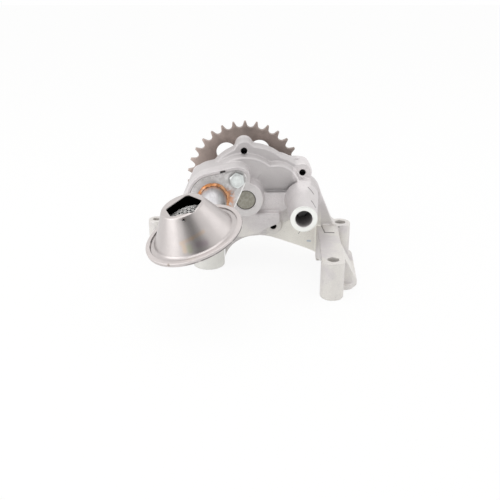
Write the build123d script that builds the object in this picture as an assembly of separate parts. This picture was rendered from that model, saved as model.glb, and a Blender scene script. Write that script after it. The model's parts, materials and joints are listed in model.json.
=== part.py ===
from build123d import *
import os
from math import atan2, cos, degrees, hypot, pi, radians, sin, sqrt

# Chain-driven oil pump with an internal-gear rotor pair, a relief valve and a pick-up strainer.
# Millimetres. The pump is drawn about its shaft: x = 0 and z = SHAFT_Z is the shaft axis,
# y = 0 the chain line, +y the chain side, z = 0 the face that bolts to the engine block.
# On export it moves, so that the outlet port's centre on the block face is the origin.

# Shaft and rotors
SHAFT_Z = 60.4  # height of the shaft above the block face
SHAFT_R = 7.5
SEAT_R = 6.5  # shaft end that carries the sprocket
RUN_GAP = 0.04  # radial clearance of running fits
SIDE_GAP = 0.05  # axial clearance on each side of a rotor
ROTOR_W = 18.0
ECC = 2.0  # the outer rotor's axis lies this far to the right of the shaft
LOBES = 6  # lobes of the inner rotor, and one more on the outer
ARC_PCR = 18.8  # radius on which the outer rotor's lobe arcs are centred
ARC_R = 5.2
MESH_GAP = 0.10
OUTER_R = 24.5
KEY_W, KEY_H, KEY_L = 4.0, 4.0, 14.0

# Chain sprocket
TEETH = 31
CHAIN_PITCH = 9.525
SPROCKET_W = 5.0
SPROCKET_TIP_R = 49.1
TOOTH_TIP_W = 1.3
ROLLER_R = 3.3
LIGHT_R, LIGHT_PCR, LIGHT_N, LIGHT_A0 = 8.5, 27.8, 6, 64.3
HUB_R, HUB_W = 14.0, 3.0
BOLT_M8_R = 4.0
M8_FLATS, M8_HEAD, M8_LENGTH, M8_FLANGE_R = 13.0, 6.5, 22.0, 9.0
WASHER_R, WASHER_T, WASHER_HOLE_R = 11.0, 2.0, 4.4

# Planes along the shaft, from the chain side to the strainer side
COVER_BACK = -14.0
JOINT_Y = -24.0
INNER_Y = -27.0  # where the raised parts of the housing begin, inside its flange
FLANGE_Y = -38.0
LOBE_Y = -48.0
BLOCK_Y = -50.0
GALLERY_Y = -56.0
PAD_Y = -59.0  # seat of the suction flange, and the shaft boss face
BARREL_Y = -82.5

# Housing outlines, as (x, z) seen from the strainer side
RING_C, RING_R = (4.4, 59.5), 38.0
COVER_C, COVER_R = (4.0, 60.0), 34.4
LEFT_LOBE, LEFT_LOBE_R = (-0.5, SHAFT_Z), 32.0
RIGHT_LOBE, RIGHT_LOBE_R = (24.4, 66.1), 19.8
LEDGE_Z = 63.7  # top of the lower block, where it stands out of the right lobe
DISH = 2.4  # how far the right lobe's face leans back at the ledge
SHAFT_BOSS_R0, SHAFT_BOSS_R1 = 15.4, 13.8
SCREWS = [(-1.0, 94.1), (45.6, 76.3), (22.6, 32.4), (-36.5, 69.5)]
SCREW_BOSS_R = 7.7
DOWELS = [(26.0, 80.0), (-29.0, 42.0)]
DOWEL_R, DOWEL_L = 2.5, 12.0
M6_R, M6_DRILL_R, M6_CLEAR_R = 3.0, 2.55, 3.3
M6_FLATS, M6_HEAD, M6_LENGTH = 10.0, 4.4, 16.0
SCREW_FLATS, SCREW_HEAD, SCREW_FLANGE_R = 8.0, 3.8, 5.8
SCREW_REACH = 7.0  # how far a cover screw goes into the housing

# Relief valve
VALVE_C = (43.7, 53.3)
BARREL_R, VALVE_R = 10.45, 6.5
VALVE_BOSS_R = 17.3
COLLAR_C, COLLAR_R = (44.4, 59.0), 13.6  # where the barrel runs into the right lobe
COLLAR_Y, COLLAR_END_Y = -47.0, -80.0
VALVE_END_Y = -27.0
PLUNGER_L, PLUNGER_WALL = 14.0, 1.5
VALVE_LIFT = 6.0
SPRING_R, SPRING_WIRE_R, SPRING_TURNS = 4.0, 0.65, 7
SEAT_Y = -57.0  # where the spring leans on its seat
CIRCLIP_W = 1.2

# Suction flange and tube
SUCTION_C = (-24.9, 63.2)
BOLT_OFFSET = (18.3, 15.1)
PLATE_T = 3.5
PLATE_R, PLATE_END_R = 17.8, 7.0
TUBE_R, TUBE_WALL = 10.4, 1.4
SPIGOT = 4.0
BEND_R = 30.0

# Strainer, about the centre of its rim, with its axis tilted to the left and forward
RIM_C = (-35.35, -139.5, 64.3)
RIM_N = (-0.289, -0.18, 0.94)
RIM_R = 34.0
RIM_FOLD = 3.2  # width of the pan's edge where it is folded over the bell's
BELL_FOOT_R, BELL_TOP_R, BELL_H = RIM_R - 6.2, 14.6, 23.8
SHEET = 0.8
SCREEN_R, SCREEN_H, SCREEN_T = BELL_FOOT_R - 2.0, BELL_H - 5.3, 0.4
PAN_FLOOR_R, PAN_DEPTH = SCREEN_R - 6.0, 6.5

# Feet
OUTLET = (-30.4, -44.8)
OUTLET_R, OUTLET_BORE_R = 13.0, 7.0
GALLERY_Z, GALLERY_R = 38.5, 4.0
GALLERY_AXIS_Y = -49.0
NEAR_FOOT, NEAR_R, DECK_Z = (64.2, -104.8), 8.8, 30.0
REAR_FOOT, REAR_R, REAR_Z = (78.3, -33.8), 8.5, 32.6
LEFT_FOOT, LEFT_R, LEFT_Z = (-74.3, -23.5), 7.1, 32.0
M8_CLEAR_R = 4.3
PAD_X0, PAD_X1 = 66.0, 90.0  # the mounting pad under the right arm
PAD_Y0, PAD_Y1 = -97.0, -23.0
PAD_H = 4.5
ARM_X0, ARM_X1 = 59.2, 76.0  # the right arm where it meets the web
UNDER_END_Y = -40.0  # how far the hollow under the right arm runs back
SKIRT_X0, SKIRT_X1 = 73.4, 86.2  # top and foot of the skirt beside the arm
SKIRT_Y0, SKIRT_Y1 = -93.0, -52.0
WEB_BACK, WEB_FRONT = -25.0, -36.0


def front(y):
    """A plane across the shaft at y, seen from the strainer side."""
    return Plane((0, y, 0), x_dir=(1, 0, 0), z_dir=(0, -1, 0))


def slab(outline, back, face, taper=0.0):
    """An outline across the shaft, from y = back to y = face in front of it."""
    return extrude(front(back) * outline, amount=back - face, taper=taper)


def disc(centre, r):
    return Pos(centre[0], centre[1]) * Circle(r)


def barrel(centre, r, back, face):
    return slab(disc(centre, r), back, face)


def post(centre, r, z0, z1):
    return extrude(Pos(centre[0], centre[1], z0) * Circle(r), amount=z1 - z0)


def tangent_outline(circles):
    """The tight outline round circles given as (x, z, r)."""
    return make_hull([e for x, z, r in circles for e in (Pos(x, z) * Circle(r)).edges()])


def filled_in(outline, r):
    """The outline with its inward corners filled to radius r."""
    return offset(offset(outline, r), -r)


def soften(part, edges, r):
    """Rounds the edges to r, or leaves them sharp where the round doesn't fit."""
    try:
        return fillet(edges, r)
    except Exception:
        return part


def at_front(part, face):
    return part.edges().filter_by(lambda e: abs(e.center().Y - face) < 0.01)


def shaft_axis():
    return (0.0, SHAFT_Z)


def rotor_axis():
    return (ECC, SHAFT_Z)


# The flange that joins the cover, and the raised rotor chamber on it


def ring_outline():
    body = disc(RING_C, RING_R)
    for c in SCREWS:
        body += disc(c, SCREW_BOSS_R)
    body += disc((VALVE_C[0] + 0.6, VALVE_C[1] + 2.0), VALVE_BOSS_R) + disc(RIGHT_LOBE, RIGHT_LOBE_R + 3)
    lower = [(-42, 60), (-42, 38), (-30, 29), (2, 27), (24, 30), (46, 40), (52, 62)]
    body += make_face(Polyline(*lower, close=True))
    return filled_in(body, 6.0)


def cover_outline():
    body = disc(COVER_C, COVER_R) + disc(RIGHT_LOBE, RIGHT_LOBE_R + 1.7)
    for c in SCREWS:
        body += disc(c, SCREW_BOSS_R - 0.4)
    lower = [(-38, 60), (-36, 40), (-24, 31), (22, 30), (40, 44), (44, 64)]
    upper = [(24, 66), (46, 64), (53, 74), (44, 84), (30, 84)]
    body += make_face(Polyline(*lower, close=True)) + make_face(Polyline(*upper, close=True))
    return filled_in(body, 6.0)


def flange():
    part = slab(ring_outline(), JOINT_Y, FLANGE_Y)
    return soften(part, at_front(part, FLANGE_Y), 1.6)


def drafted(centre, r0, r1, back, face, rounding):
    """A round boss whose wall leans in from r0 at the back to r1 at its rounded face."""
    cone = Pos(centre[0], (back + face) / 2, centre[1]) * Rot(X=90) * Cone(r0, r1, back - face)
    return fillet(at_front(cone, face), rounding)


def straight(centre, r, back, face, rounding):
    """A round boss with a straight wall and a rounded face."""
    part = barrel(centre, r, back, face)
    return fillet(at_front(part, face), rounding)


def chamber():
    draft = 0.9
    back = FLANGE_Y + 6
    part = drafted(LEFT_LOBE, LEFT_LOBE_R + draft / 2, LEFT_LOBE_R - draft, back, LOBE_Y, 1.8)
    return part + drafted(RIGHT_LOBE, RIGHT_LOBE_R + draft / 2, RIGHT_LOBE_R - draft, back, LOBE_Y, 1.8)


def lobe_dish():
    """The wedge that makes the right lobe's face lean back towards the ledge."""
    wedge = [(LOBE_Y - 0.2, LEDGE_Z), (LOBE_Y + DISH, LEDGE_Z), (LOBE_Y - 0.2, LEDGE_Z + 18.5)]
    wedge = extrude(Plane.YZ * make_face(Polyline(*wedge, close=True)), amount=60)
    return wedge & barrel(RIGHT_LOBE, RIGHT_LOBE_R - 2.4, LOBE_Y + 6, LOBE_Y - 6) - barrel(
        shaft_axis(), SHAFT_BOSS_R0 + 0.6, LOBE_Y + 6, LOBE_Y - 6
    )


def shaft_boss():
    return drafted(shaft_axis(), SHAFT_BOSS_R0, SHAFT_BOSS_R1, LOBE_Y + 2, PAD_Y, 1.0)


def lower_block():
    """The pressure side below the chamber: a block, and the gallery pad that stands out of it."""
    outline = [
        (-14, LEDGE_Z), (36, LEDGE_Z), (36, 52), (29.5, 47), (29, 40),
        (14, 33), (-2, 29), (-14, 29), (-18, 40),
    ]
    block = slab(fillet(make_face(Polyline(*outline, close=True)).vertices(), 2.5), INNER_Y, BLOCK_Y)
    block = soften(block, at_front(block, BLOCK_Y), 1.2)
    pad_outline = [(-44, 48.2), (27.6, 48.2), (27.6, 40), (17, 35.2), (11.5, 30.9), (-2, 28), (-44, 28)]
    pad = slab(fillet(make_face(Polyline(*pad_outline, close=True)).vertices(), 1.5), INNER_Y, GALLERY_Y)
    pad = soften(pad, at_front(pad, GALLERY_Y), 1.2)
    boss_r = SCREW_BOSS_R - 0.5
    return block + pad + straight(SCREWS[2], boss_r, INNER_Y, FLANGE_Y - 5, 1.0)


# The seat of the suction flange, with a wall round its upper side


def bolt_places():
    x, z = SUCTION_C
    dx, dz = BOLT_OFFSET
    return [(x + dx, z + dz), (x - dx, z - dz)]


def plate_outline(extra=0.0):
    circles = [(*SUCTION_C, PLATE_R + extra)] + [(*c, PLATE_END_R + extra) for c in bolt_places()]
    return tangent_outline(circles)


def suction_seat():
    seat = slab(plate_outline(3.2), INNER_Y, PAD_Y)
    wall = slab(plate_outline(3.2) - plate_outline(0.35), PAD_Y + 2, PAD_Y - PLATE_T - 0.5)
    wall = soften(wall, at_front(wall, PAD_Y - PLATE_T - 0.5), 0.8)
    across = Pos(SUCTION_C[0], 0, SUCTION_C[1]) * Rot(Y=-degrees(atan2(BOLT_OFFSET[1], BOLT_OFFSET[0])))
    upper = across * Pos(0, PAD_Y, 25) * Box(80, 30, 50)
    notch = Pos(SUCTION_C[0] + 7.7, PAD_Y, SUCTION_C[1] + 20.4) * Rot(Y=-14) * Box(4.2, 9, 3.4)
    return (seat + (wall & upper)) - notch


# Feet and the web that joins them


def foot_outline():
    """The mounting pad under the right arm, as (x, y)."""
    corners = [
        (PAD_X0, PAD_Y0), (PAD_X1 - 10, PAD_Y0 + 2), (PAD_X1 - 4, PAD_Y0 + 10),
        (PAD_X1, PAD_Y1 - 9), (PAD_X1 - 3, PAD_Y1), (PAD_X0, PAD_Y1),
    ]
    return fillet(make_face(Polyline(*corners, close=True)).vertices(), 4)


def under_arm():
    """The hollow under the near end of the right arm, inside its mounting pad."""
    y = PAD_Y0 - 4
    low = [(y, -1), (y, DECK_Z - 4.6), (PAD_Y0, DECK_Z - 5), (UNDER_END_Y, 3), (UNDER_END_Y, -1)]
    return Pos(PAD_X0 - 20, 0, 0) * extrude(Plane.YZ * make_face(Polyline(*low, close=True)), amount=20)


def arm_skirt():
    """The wall that leans from the arm's deck down to the mounting pad."""
    top = DECK_Z - 1.5
    side = [(PAD_X0, 0), (SKIRT_X1, 0), (SKIRT_X1, PAD_H), (SKIRT_X0, top), (PAD_X0, top)]
    skirt = slab(make_face(Polyline(*side, close=True)), SKIRT_Y1, SKIRT_Y0)
    return skirt & extrude(foot_outline(), amount=DECK_Z)


def right_arm():
    x, y = NEAR_FOOT
    back = REAR_FOOT[1] + 4
    side = [(x - NEAR_R, y), (ARM_X0, back), (ARM_X1, back), (x + NEAR_R, y)]
    bar = extrude(make_face(Polyline(*side, close=True)), amount=DECK_Z) - under_arm()
    bar += post(NEAR_FOOT, NEAR_R, 0, DECK_Z)
    raised = [(x - 0.2, SKIRT_Y1 - 0.3), (ARM_X0 + 4, back), (ARM_X1, back), (ARM_X1 - 0.8, SKIRT_Y1 - 0.3)]
    bar += extrude(Pos(0, 0, DECK_Z) * make_face(Polyline(*raised, close=True)), amount=1.0)
    rear = post(REAR_FOOT, REAR_R, 0, REAR_Z)
    rear = soften(rear, rear.edges().filter_by(lambda e: abs(e.center().Z - REAR_Z) < 0.01), 0.8)
    return bar + rear + arm_skirt() + extrude(foot_outline(), amount=PAD_H)


def arch_web():
    """The web under the pump, with the arch cut between the outlet foot and the right arm."""
    low = Spline((-17, 2), (-11, 13), (2, 20.4), (16, 21.2), (34, 15.8), (50, 10.0), (62, 4.2))
    edge = [low, Polyline((62, 4.2), (76, 4.2), (76, REAR_Z - 2), (71.5, 34.5), (61.5, 58), (-17, 58), (-17, 2))]
    return slab(make_face(edge), WEB_BACK, WEB_FRONT)


def left_arm():
    x, y = LEFT_FOOT
    boss = post(LEFT_FOOT, LEFT_R, 0, LEFT_Z)
    boss = soften(boss, boss.edges().filter_by(lambda e: abs(e.center().Z - LEFT_Z) < 0.01), 0.6)
    web = make_face(Polyline((x, 6), (x, 28), (-44, 52), (-30, 52), (-20, 8), (-44, 6), close=True))
    return boss + slab(web, JOINT_Y, y - 7)


def outlet_foot():
    column = post(OUTLET, OUTLET_R, 0, GALLERY_Z + 8)
    return soften(column, column.edges().filter_by(lambda e: abs(e.center().Z) < 0.01), 0.6)


# What is bored out of the housing


def rotor_pocket():
    depth = ROTOR_W + 2 * SIDE_GAP
    pocket = barrel(rotor_axis(), OUTER_R + 2 * RUN_GAP, JOINT_Y + 1, JOINT_Y - depth)
    floor = JOINT_Y - depth
    core = disc(rotor_axis(), ARC_PCR - 6.5)
    inlet = (disc(rotor_axis(), OUTER_R + 1) - core) & (Pos(ECC - 20, SHAFT_Z + 1) * Rectangle(28, 30))
    outlet = (disc(rotor_axis(), ARC_PCR + 1.5) - core) & (Pos(ECC + 20, SHAFT_Z - 6) * Rectangle(28, 17))
    return pocket + slab(inlet + outlet, floor + 0.5, floor - 3)


def suction_passage():
    x, z = SUCTION_C
    end = JOINT_Y - ROTOR_W - 2
    wide = barrel(SUCTION_C, TUBE_R + 0.15, PAD_Y + SPIGOT + 1, PAD_Y - 1)
    narrow = barrel(SUCTION_C, TUBE_R - 2.4, end, PAD_Y)
    groove = barrel(SUCTION_C, TUBE_R + 2.1, PAD_Y + 2.0, PAD_Y - 1)
    return wide + narrow + groove


def pressure_passage():
    """From the outlet kidney along the gallery to the port in the foot."""
    along = (GALLERY_AXIS_Y, GALLERY_Z)
    across = Pos(-6, *along) * Rot(Y=90) * Cylinder(GALLERY_R, 56)
    x, y = OUTLET
    drop = Pos(x, y, (GALLERY_Z - 1) / 2) * Cylinder(OUTLET_BORE_R, GALLERY_Z + 1)
    up = Pos(16.5, GALLERY_AXIS_Y + 3, (GALLERY_Z + 50) / 2) * Cylinder(3.0, 50 - GALLERY_Z)
    ring = Pos(x, y, 1) * (Cylinder(OUTLET_BORE_R + 4.2, 2.01) - Cylinder(OUTLET_BORE_R + 1.6, 2.01))
    return across + drop + up + ring


def valve_bore():
    bore = barrel(VALVE_C, VALVE_R, VALVE_END_Y, BARREL_Y - 1)
    groove = barrel(VALVE_C, VALVE_R + 0.8, SEAT_Y - 2.5, SEAT_Y - 2.5 - CIRCLIP_W - 0.1)
    spill = Pos(VALVE_C[0], VALVE_END_Y - PLUNGER_L - 3, VALVE_C[1] - 10) * Box(6, 5, 14)
    feed = Pos(36, VALVE_END_Y - 0.9, 58) * Rot(Y=60) * Cylinder(2.2, 22)
    return bore + groove + spill + feed


def screw_holes():
    cut = None
    for c in SCREWS:
        hole = barrel(c, M6_DRILL_R, JOINT_Y + 1, GALLERY_Y - 1)
        hole += barrel(c, M6_R + 0.05, JOINT_Y + 1, JOINT_Y - SCREW_REACH - 0.5)
        cut = hole if cut is None else cut + hole
    for c in DOWELS:
        cut += barrel(c, DOWEL_R + 0.01, JOINT_Y + 1, JOINT_Y - DOWEL_L / 2 - 0.3)
    for c in bolt_places():
        cut += barrel(c, M6_R + 0.05, PAD_Y + M6_LENGTH - PLATE_T + 2, PAD_Y - 1)
    return cut


def foot_holes():
    cut = Pos(*NEAR_FOOT, DECK_Z / 2) * Cylinder(M8_CLEAR_R, DECK_Z + 10)
    cut += Pos(*REAR_FOOT, REAR_Z / 2) * Cylinder(M8_CLEAR_R, REAR_Z + 10)
    return cut + Pos(*LEFT_FOOT, LEFT_Z / 2) * Cylinder(M6_CLEAR_R, LEFT_Z + 10)


def shaft_bore():
    bore = barrel(shaft_axis(), SHAFT_R + RUN_GAP, JOINT_Y, PAD_Y - 1)
    r = SHAFT_R + RUN_GAP + 0.6
    mouth = Pos(0, PAD_Y + 0.3, SHAFT_Z) * Rot(X=90) * Cone(r - 0.6, r, 0.61)
    return bore + mouth


def valve_barrel():
    tube = straight(VALVE_C, BARREL_R, INNER_Y, BARREL_Y, 0.5)
    wide = front(COLLAR_Y) * disc(COLLAR_C, COLLAR_R)
    narrow = front(COLLAR_END_Y) * disc(VALVE_C, BARREL_R - 0.1)
    return tube + barrel(COLLAR_C, COLLAR_R, FLANGE_Y + 2, COLLAR_Y) + loft([wide, narrow])


def pump_housing():
    body = flange() + chamber() + shaft_boss() + lower_block() + suction_seat() + valve_barrel()
    body += arch_web() + right_arm() + left_arm() + outlet_foot()
    body -= lobe_dish()
    body -= rotor_pocket() + shaft_bore()
    body -= suction_passage()
    body -= pressure_passage()
    body -= valve_bore()
    return body - screw_holes() - foot_holes()


def rear_cover():
    plate = slab(cover_outline(), COVER_BACK, JOINT_Y)
    plate = soften(plate, plate.edges().filter_by(lambda e: abs(e.center().Y - COVER_BACK) < 0.01), 1.2)
    boss = barrel(shaft_axis(), SHAFT_R + 5.5, COVER_BACK + 6, COVER_BACK)
    relief = cover_recess()
    plate = plate + boss - relief - barrel(shaft_axis(), SHAFT_R + RUN_GAP, 0, JOINT_Y - 1)
    for c in SCREWS:
        plate -= barrel(c, M6_CLEAR_R, 0, JOINT_Y - 1)
    for c in DOWELS:
        plate -= barrel(c, DOWEL_R + 0.01, JOINT_Y + DOWEL_L / 2 + 0.3, JOINT_Y - 1)
    return plate


def cover_recess():
    """Pockets between ribs on the chain side of the cover."""
    ring = disc(COVER_C, COVER_R - 4) - disc(shaft_axis(), SHAFT_R + 9)
    spokes = None
    for k in range(6):
        rib = Pos(0, SHAFT_Z) * Rot(Z=60 * k + 15) * Pos(26, 0) * Rectangle(52, 5)
        spokes = rib if spokes is None else spokes + rib
    for c in SCREWS + DOWELS:
        ring -= disc(c, SCREW_BOSS_R - 1)
    return slab(ring - spokes, COVER_BACK + 1, COVER_BACK - 4)


def drive_shaft():
    journal = barrel(shaft_axis(), SHAFT_R, -SPROCKET_W / 2, PAD_Y + 0.4)
    journal = soften(journal, at_front(journal, PAD_Y + 0.4), 0.5)
    nose = barrel(shaft_axis(), SEAT_R, SPROCKET_W / 2 + HUB_W - 0.5, -SPROCKET_W / 2)
    flat = Pos(0, 0, SHAFT_Z + SEAT_R - 1.2 + 5) * Box(20, 20, 10)
    nose -= flat & slab(disc(shaft_axis(), 12), SPROCKET_W / 2 + HUB_W, -SPROCKET_W / 2)
    thread = barrel(shaft_axis(), BOLT_M8_R + 0.05, SPROCKET_W / 2 + HUB_W, -20)
    return journal + nose - thread - key_slot(0)


def key_slot(gap):
    mid = JOINT_Y - SIDE_GAP - ROTOR_W / 2
    return Pos(0, mid, SHAFT_Z + SHAFT_R) * Box(KEY_W + gap, KEY_L + gap, KEY_H + gap)


def rotor_key():
    key = key_slot(0)
    return fillet(key.edges().filter_by(Axis.Z), KEY_W / 2 - 0.05)


# The rotor pair: the outer rotor's lobes are plain arcs, and the inner rotor is their envelope


def inner_profile_point(t):
    """Where the inner rotor's flank touches, for the angle t of a lobe arc's centre."""
    n = LOBES + 1
    x = ARC_PCR * cos(t) + ECC * cos(n * t)
    z = ARC_PCR * sin(t) + ECC * sin(n * t)
    dx = -ARC_PCR * sin(t) - ECC * n * sin(n * t)
    dz = ARC_PCR * cos(t) + ECC * n * cos(n * t)
    s = (ARC_R + MESH_GAP) / hypot(dx, dz)
    return x - dz * s, z + dx * s


def inner_rotor():
    steps = 12 * LOBES
    points = [inner_profile_point(2 * pi * k / steps) for k in range(steps)]
    outline = Pos(0, SHAFT_Z) * make_face(Spline(*points, periodic=True))
    rotor = slab(outline, JOINT_Y - SIDE_GAP, JOINT_Y - SIDE_GAP - ROTOR_W)
    rotor -= barrel(shaft_axis(), SHAFT_R + 0.01, 0, LOBE_Y)
    low, high = SHAFT_Z + SHAFT_R - 1, SHAFT_Z + SHAFT_R + KEY_H / 2 + 0.05
    return rotor - Pos(0, (JOINT_Y + LOBE_Y) / 2, (low + high) / 2) * Box(KEY_W + 0.06, 40, high - low)


def outer_rotor():
    n = LOBES + 1
    space = Circle(ARC_PCR + 2 * ECC - ARC_R + 0.15)
    lobes = None
    for k in range(n):
        lobe = Rot(Z=360 * k / n) * Pos(ARC_PCR, 0) * Circle(ARC_R)
        lobes = lobe if lobes is None else lobes + lobe
    space = space - lobes
    ring = Pos(*rotor_axis()) * (Circle(OUTER_R) - space)
    return slab(ring, JOINT_Y - SIDE_GAP, JOINT_Y - SIDE_GAP - ROTOR_W)


# The sprocket and what holds it


def tooth_gap(k):
    """One gap's outline points about the sprocket's centre: flank, roller seat, flank."""
    pcr = CHAIN_PITCH / 2 / sin(pi / TEETH)
    a = 2 * pi * (k + 0.5) / TEETH + pi / 2
    half = pi / TEETH - TOOTH_TIP_W / 2 / SPROCKET_TIP_R
    seat = radians(62)

    def place(r, across):
        return r * cos(a) - across * sin(a), r * sin(a) + across * cos(a)

    tip = SPROCKET_TIP_R * cos(half), SPROCKET_TIP_R * sin(half)
    side = pcr - ROLLER_R * cos(seat), ROLLER_R * sin(seat)
    return (
        place(tip[0], -tip[1]),
        place(side[0], -side[1]),
        place(pcr - ROLLER_R, 0),
        place(*side),
        place(*tip),
    )


def sprocket_outline():
    edges, last = [], None
    gaps = [tooth_gap(k) for k in range(TEETH)]
    for k, (a, b, c, d, e) in enumerate(gaps):
        edges += [Line(a, b), ThreePointArc(b, c, d), Line(d, e), Line(e, gaps[(k + 1) % TEETH][0])]
    return make_face(edges)


def chain_sprocket():
    half = SPROCKET_W / 2
    outline = Pos(0, SHAFT_Z) * sprocket_outline()
    plate = slab(outline, half, -half)
    rim = Polyline(
        (0, -half), (45.6, -half), (SPROCKET_TIP_R + 0.5, -half + 1.1),
        (SPROCKET_TIP_R + 0.5, half - 1.1), (45.6, half), (0, half), close=True,
    )
    plate &= Pos(0, 0, SHAFT_Z) * revolve(make_face(rim), Axis.Y)
    plate += barrel(shaft_axis(), HUB_R, half + HUB_W, half)
    for k in range(LIGHT_N):
        a = radians(LIGHT_A0 + 360 * k / LIGHT_N)
        hole = (LIGHT_PCR * cos(a), SHAFT_Z + LIGHT_PCR * sin(a))
        plate -= barrel(hole, LIGHT_R, half + 1, -half - 1)
    bore = barrel(shaft_axis(), SEAT_R + 0.02, half + HUB_W + 1, -half - 1)
    flat = Pos(0, 0, SHAFT_Z + SEAT_R - 1.2 + 0.02 + 5) * Box(20, 40, 10)
    return plate - (bore - flat)


def sprocket_washer():
    back = SPROCKET_W / 2 + HUB_W
    hole = barrel(shaft_axis(), WASHER_HOLE_R, back + WASHER_T + 1, back - 1)
    return barrel(shaft_axis(), WASHER_R, back + WASHER_T, back) - hole


def hex_head(across_flats, height, r_chamfer=0.6):
    head = extrude(RegularPolygon(across_flats / 2, 6, major_radius=False), amount=height)
    crown = Cone(across_flats / 2 / cos(pi / 6) + height, across_flats / 2 * 0.97, height + 0.0)
    return head & Pos(0, 0, height / 2) * crown


def hex_bolt(r, across_flats, head_h, length):
    """Along +z, with the seat of its head at z = 0 and its shank below."""
    shank = Pos(0, 0, -length / 2) * Cylinder(r, length)
    shank = chamfer(shank.edges().group_by(Axis.Z)[0], r * 0.2)
    return hex_head(across_flats, head_h) + shank


def sprocket_bolt():
    seat = SPROCKET_W / 2 + HUB_W + WASHER_T
    flange_disc = extrude(Circle(M8_FLANGE_R), amount=M8_HEAD / 4)
    bolt = hex_bolt(BOLT_M8_R, M8_FLATS, M8_HEAD, M8_LENGTH) + flange_disc
    return Pos(0, seat, SHAFT_Z) * Rot(X=-90) * bolt


def cover_screws():
    screws = []
    for x, z in SCREWS:
        screw = hex_bolt(M6_R, SCREW_FLATS, SCREW_HEAD, COVER_BACK - JOINT_Y + SCREW_REACH)
        screw += extrude(Circle(SCREW_FLANGE_R), amount=SCREW_HEAD / 3)
        screws.append(Pos(x, COVER_BACK, z) * Rot(X=-90) * screw)
    return Compound(screws)


def cover_dowels():
    pins = []
    for c in DOWELS:
        pin = barrel(c, DOWEL_R, JOINT_Y + DOWEL_L / 2, JOINT_Y - DOWEL_L / 2)
        pins.append(chamfer(pin.edges(), 0.4))
    return Compound(pins)


# Relief valve


def relief_plunger():
    back = VALVE_END_Y - 0.3
    cup = barrel(VALVE_C, VALVE_R - RUN_GAP, back, back - PLUNGER_L)
    hollow = barrel(VALVE_C, VALVE_R - RUN_GAP - PLUNGER_WALL, back - 4, back - PLUNGER_L - 1)
    return chamfer(cup.edges(), 0.4) - hollow


def relief_spring():
    back = VALVE_END_Y - 0.3 - 4.0
    free = back - SEAT_Y - 2 * SPRING_WIRE_R
    path = Helix(pitch=free / SPRING_TURNS, height=free, radius=SPRING_R)
    wire = Plane(origin=path @ 0, z_dir=path % 0) * Circle(SPRING_WIRE_R)
    coil = sweep(wire, path=path, is_frenet=True)
    return Pos(VALVE_C[0], back - SPRING_WIRE_R, VALVE_C[1]) * Rot(X=90) * coil


def relief_spring_seat():
    disc_part = barrel(VALVE_C, VALVE_R - 0.1, SEAT_Y, SEAT_Y - 2.5)
    pilot = barrel(VALVE_C, SPRING_R - SPRING_WIRE_R - 0.3, SEAT_Y + 3.5, SEAT_Y)
    return disc_part + pilot - barrel(VALVE_C, 1.5, SEAT_Y + 4, SEAT_Y - 3)


def relief_circlip():
    face = SEAT_Y - 2.5
    ring = disc(VALVE_C, VALVE_R + 0.7) - disc(VALVE_C, VALVE_R - 1.2)
    gap = Pos(VALVE_C[0], VALVE_C[1] - VALVE_R) * Rectangle(5, 6)
    return slab(ring - gap, face - 0.05, face - 0.05 - CIRCLIP_W)


# Suction side


def suction_flange():
    plate = slab(plate_outline(), PAD_Y, PAD_Y - PLATE_T)
    plate = soften(plate, at_front(plate, PAD_Y - PLATE_T), 0.4)
    for c in bolt_places():
        plate -= barrel(c, M6_CLEAR_R, PAD_Y + 1, PAD_Y - PLATE_T - 1)
    return plate - barrel(SUCTION_C, TUBE_R + 0.05, PAD_Y + 1, PAD_Y - PLATE_T - 1)


def rim_plane():
    return Plane(origin=RIM_C, x_dir=(0.956, 0, 0.294), z_dir=RIM_N)


def pan_entry():
    """Where the tube's axis ends inside the pan."""
    return rim_plane().from_local_coords(Vector(0, RIM_R * 0.41, -15.5))


def tube_path():
    x, z = SUCTION_C
    start, turn, end = Vector(x, PAD_Y + SPIGOT, z), Vector(x, PAD_Y - 15, z), pan_entry()
    lead, away = (turn - start).normalized(), (end - turn).normalized()
    stop = end - away * 6
    reach = BEND_R * sqrt((1 - lead.dot(away)) / (1 + lead.dot(away)))
    a, b = turn - lead * reach, turn + away * reach
    bend = TangentArc(a, b, tangent=lead)
    return Line(start, a) + bend + Line(b, stop), away


def suction_tube():
    path, _ = tube_path()
    start = Plane(origin=path @ 0, z_dir=path % 0)
    outer = sweep(start * Circle(TUBE_R), path=path)
    inner = sweep(start * Circle(TUBE_R - TUBE_WALL), path=path)
    return outer - inner


def braze_ring(place, foot, height):
    profile = Polyline(
        (TUBE_R + 0.02, 0), (TUBE_R + foot, 0), (TUBE_R + foot * 0.55, height * 0.5),
        (TUBE_R + 0.02, height), close=True,
    )
    return place * revolve(Plane.XZ * make_face(profile), Axis.Z)


def flange_braze():
    return braze_ring(front(PAD_Y - PLATE_T) * Pos(*SUCTION_C), 2.3, 2.0)


def suction_o_ring():
    tube_side = TUBE_R + 1.08
    return Pos(SUCTION_C[0], PAD_Y + 1.0, SUCTION_C[1]) * Rot(X=90) * Torus(tube_side, 0.95)


def suction_bolts():
    bolts = []
    for x, z in bolt_places():
        bolt = Rot(Z=8) * hex_bolt(M6_R, M6_FLATS, M6_HEAD, M6_LENGTH)
        bolts.append(Pos(x, PAD_Y - PLATE_T, z) * Rot(X=90) * bolt)
    return Compound(bolts)


# Strainer: a bell with the inlet, a domed screen and a shallow pan, closed by the pan's rolled rim


def spun(points, rounded=()):
    """A turned solid from its (r, h) outline, with some corners rounded: {index: radius}."""
    face = make_face(Polyline(*points, close=True))
    for index, r in rounded:
        x, h = points[index]
        corner = face.vertices().sort_by_distance((x, h, 0))[0]
        face = fillet([corner], r)
    return revolve(Plane.XZ * face, Axis.Z)


def inlet_outline():
    corners = [(-11.4, 1.0), (3.6, 12.4), (14.0, -1.6), (8.0, -13.2), (-7.4, -10.8)]
    return fillet(make_face(Polyline(*corners, close=True)).vertices(), 2.5)


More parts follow.
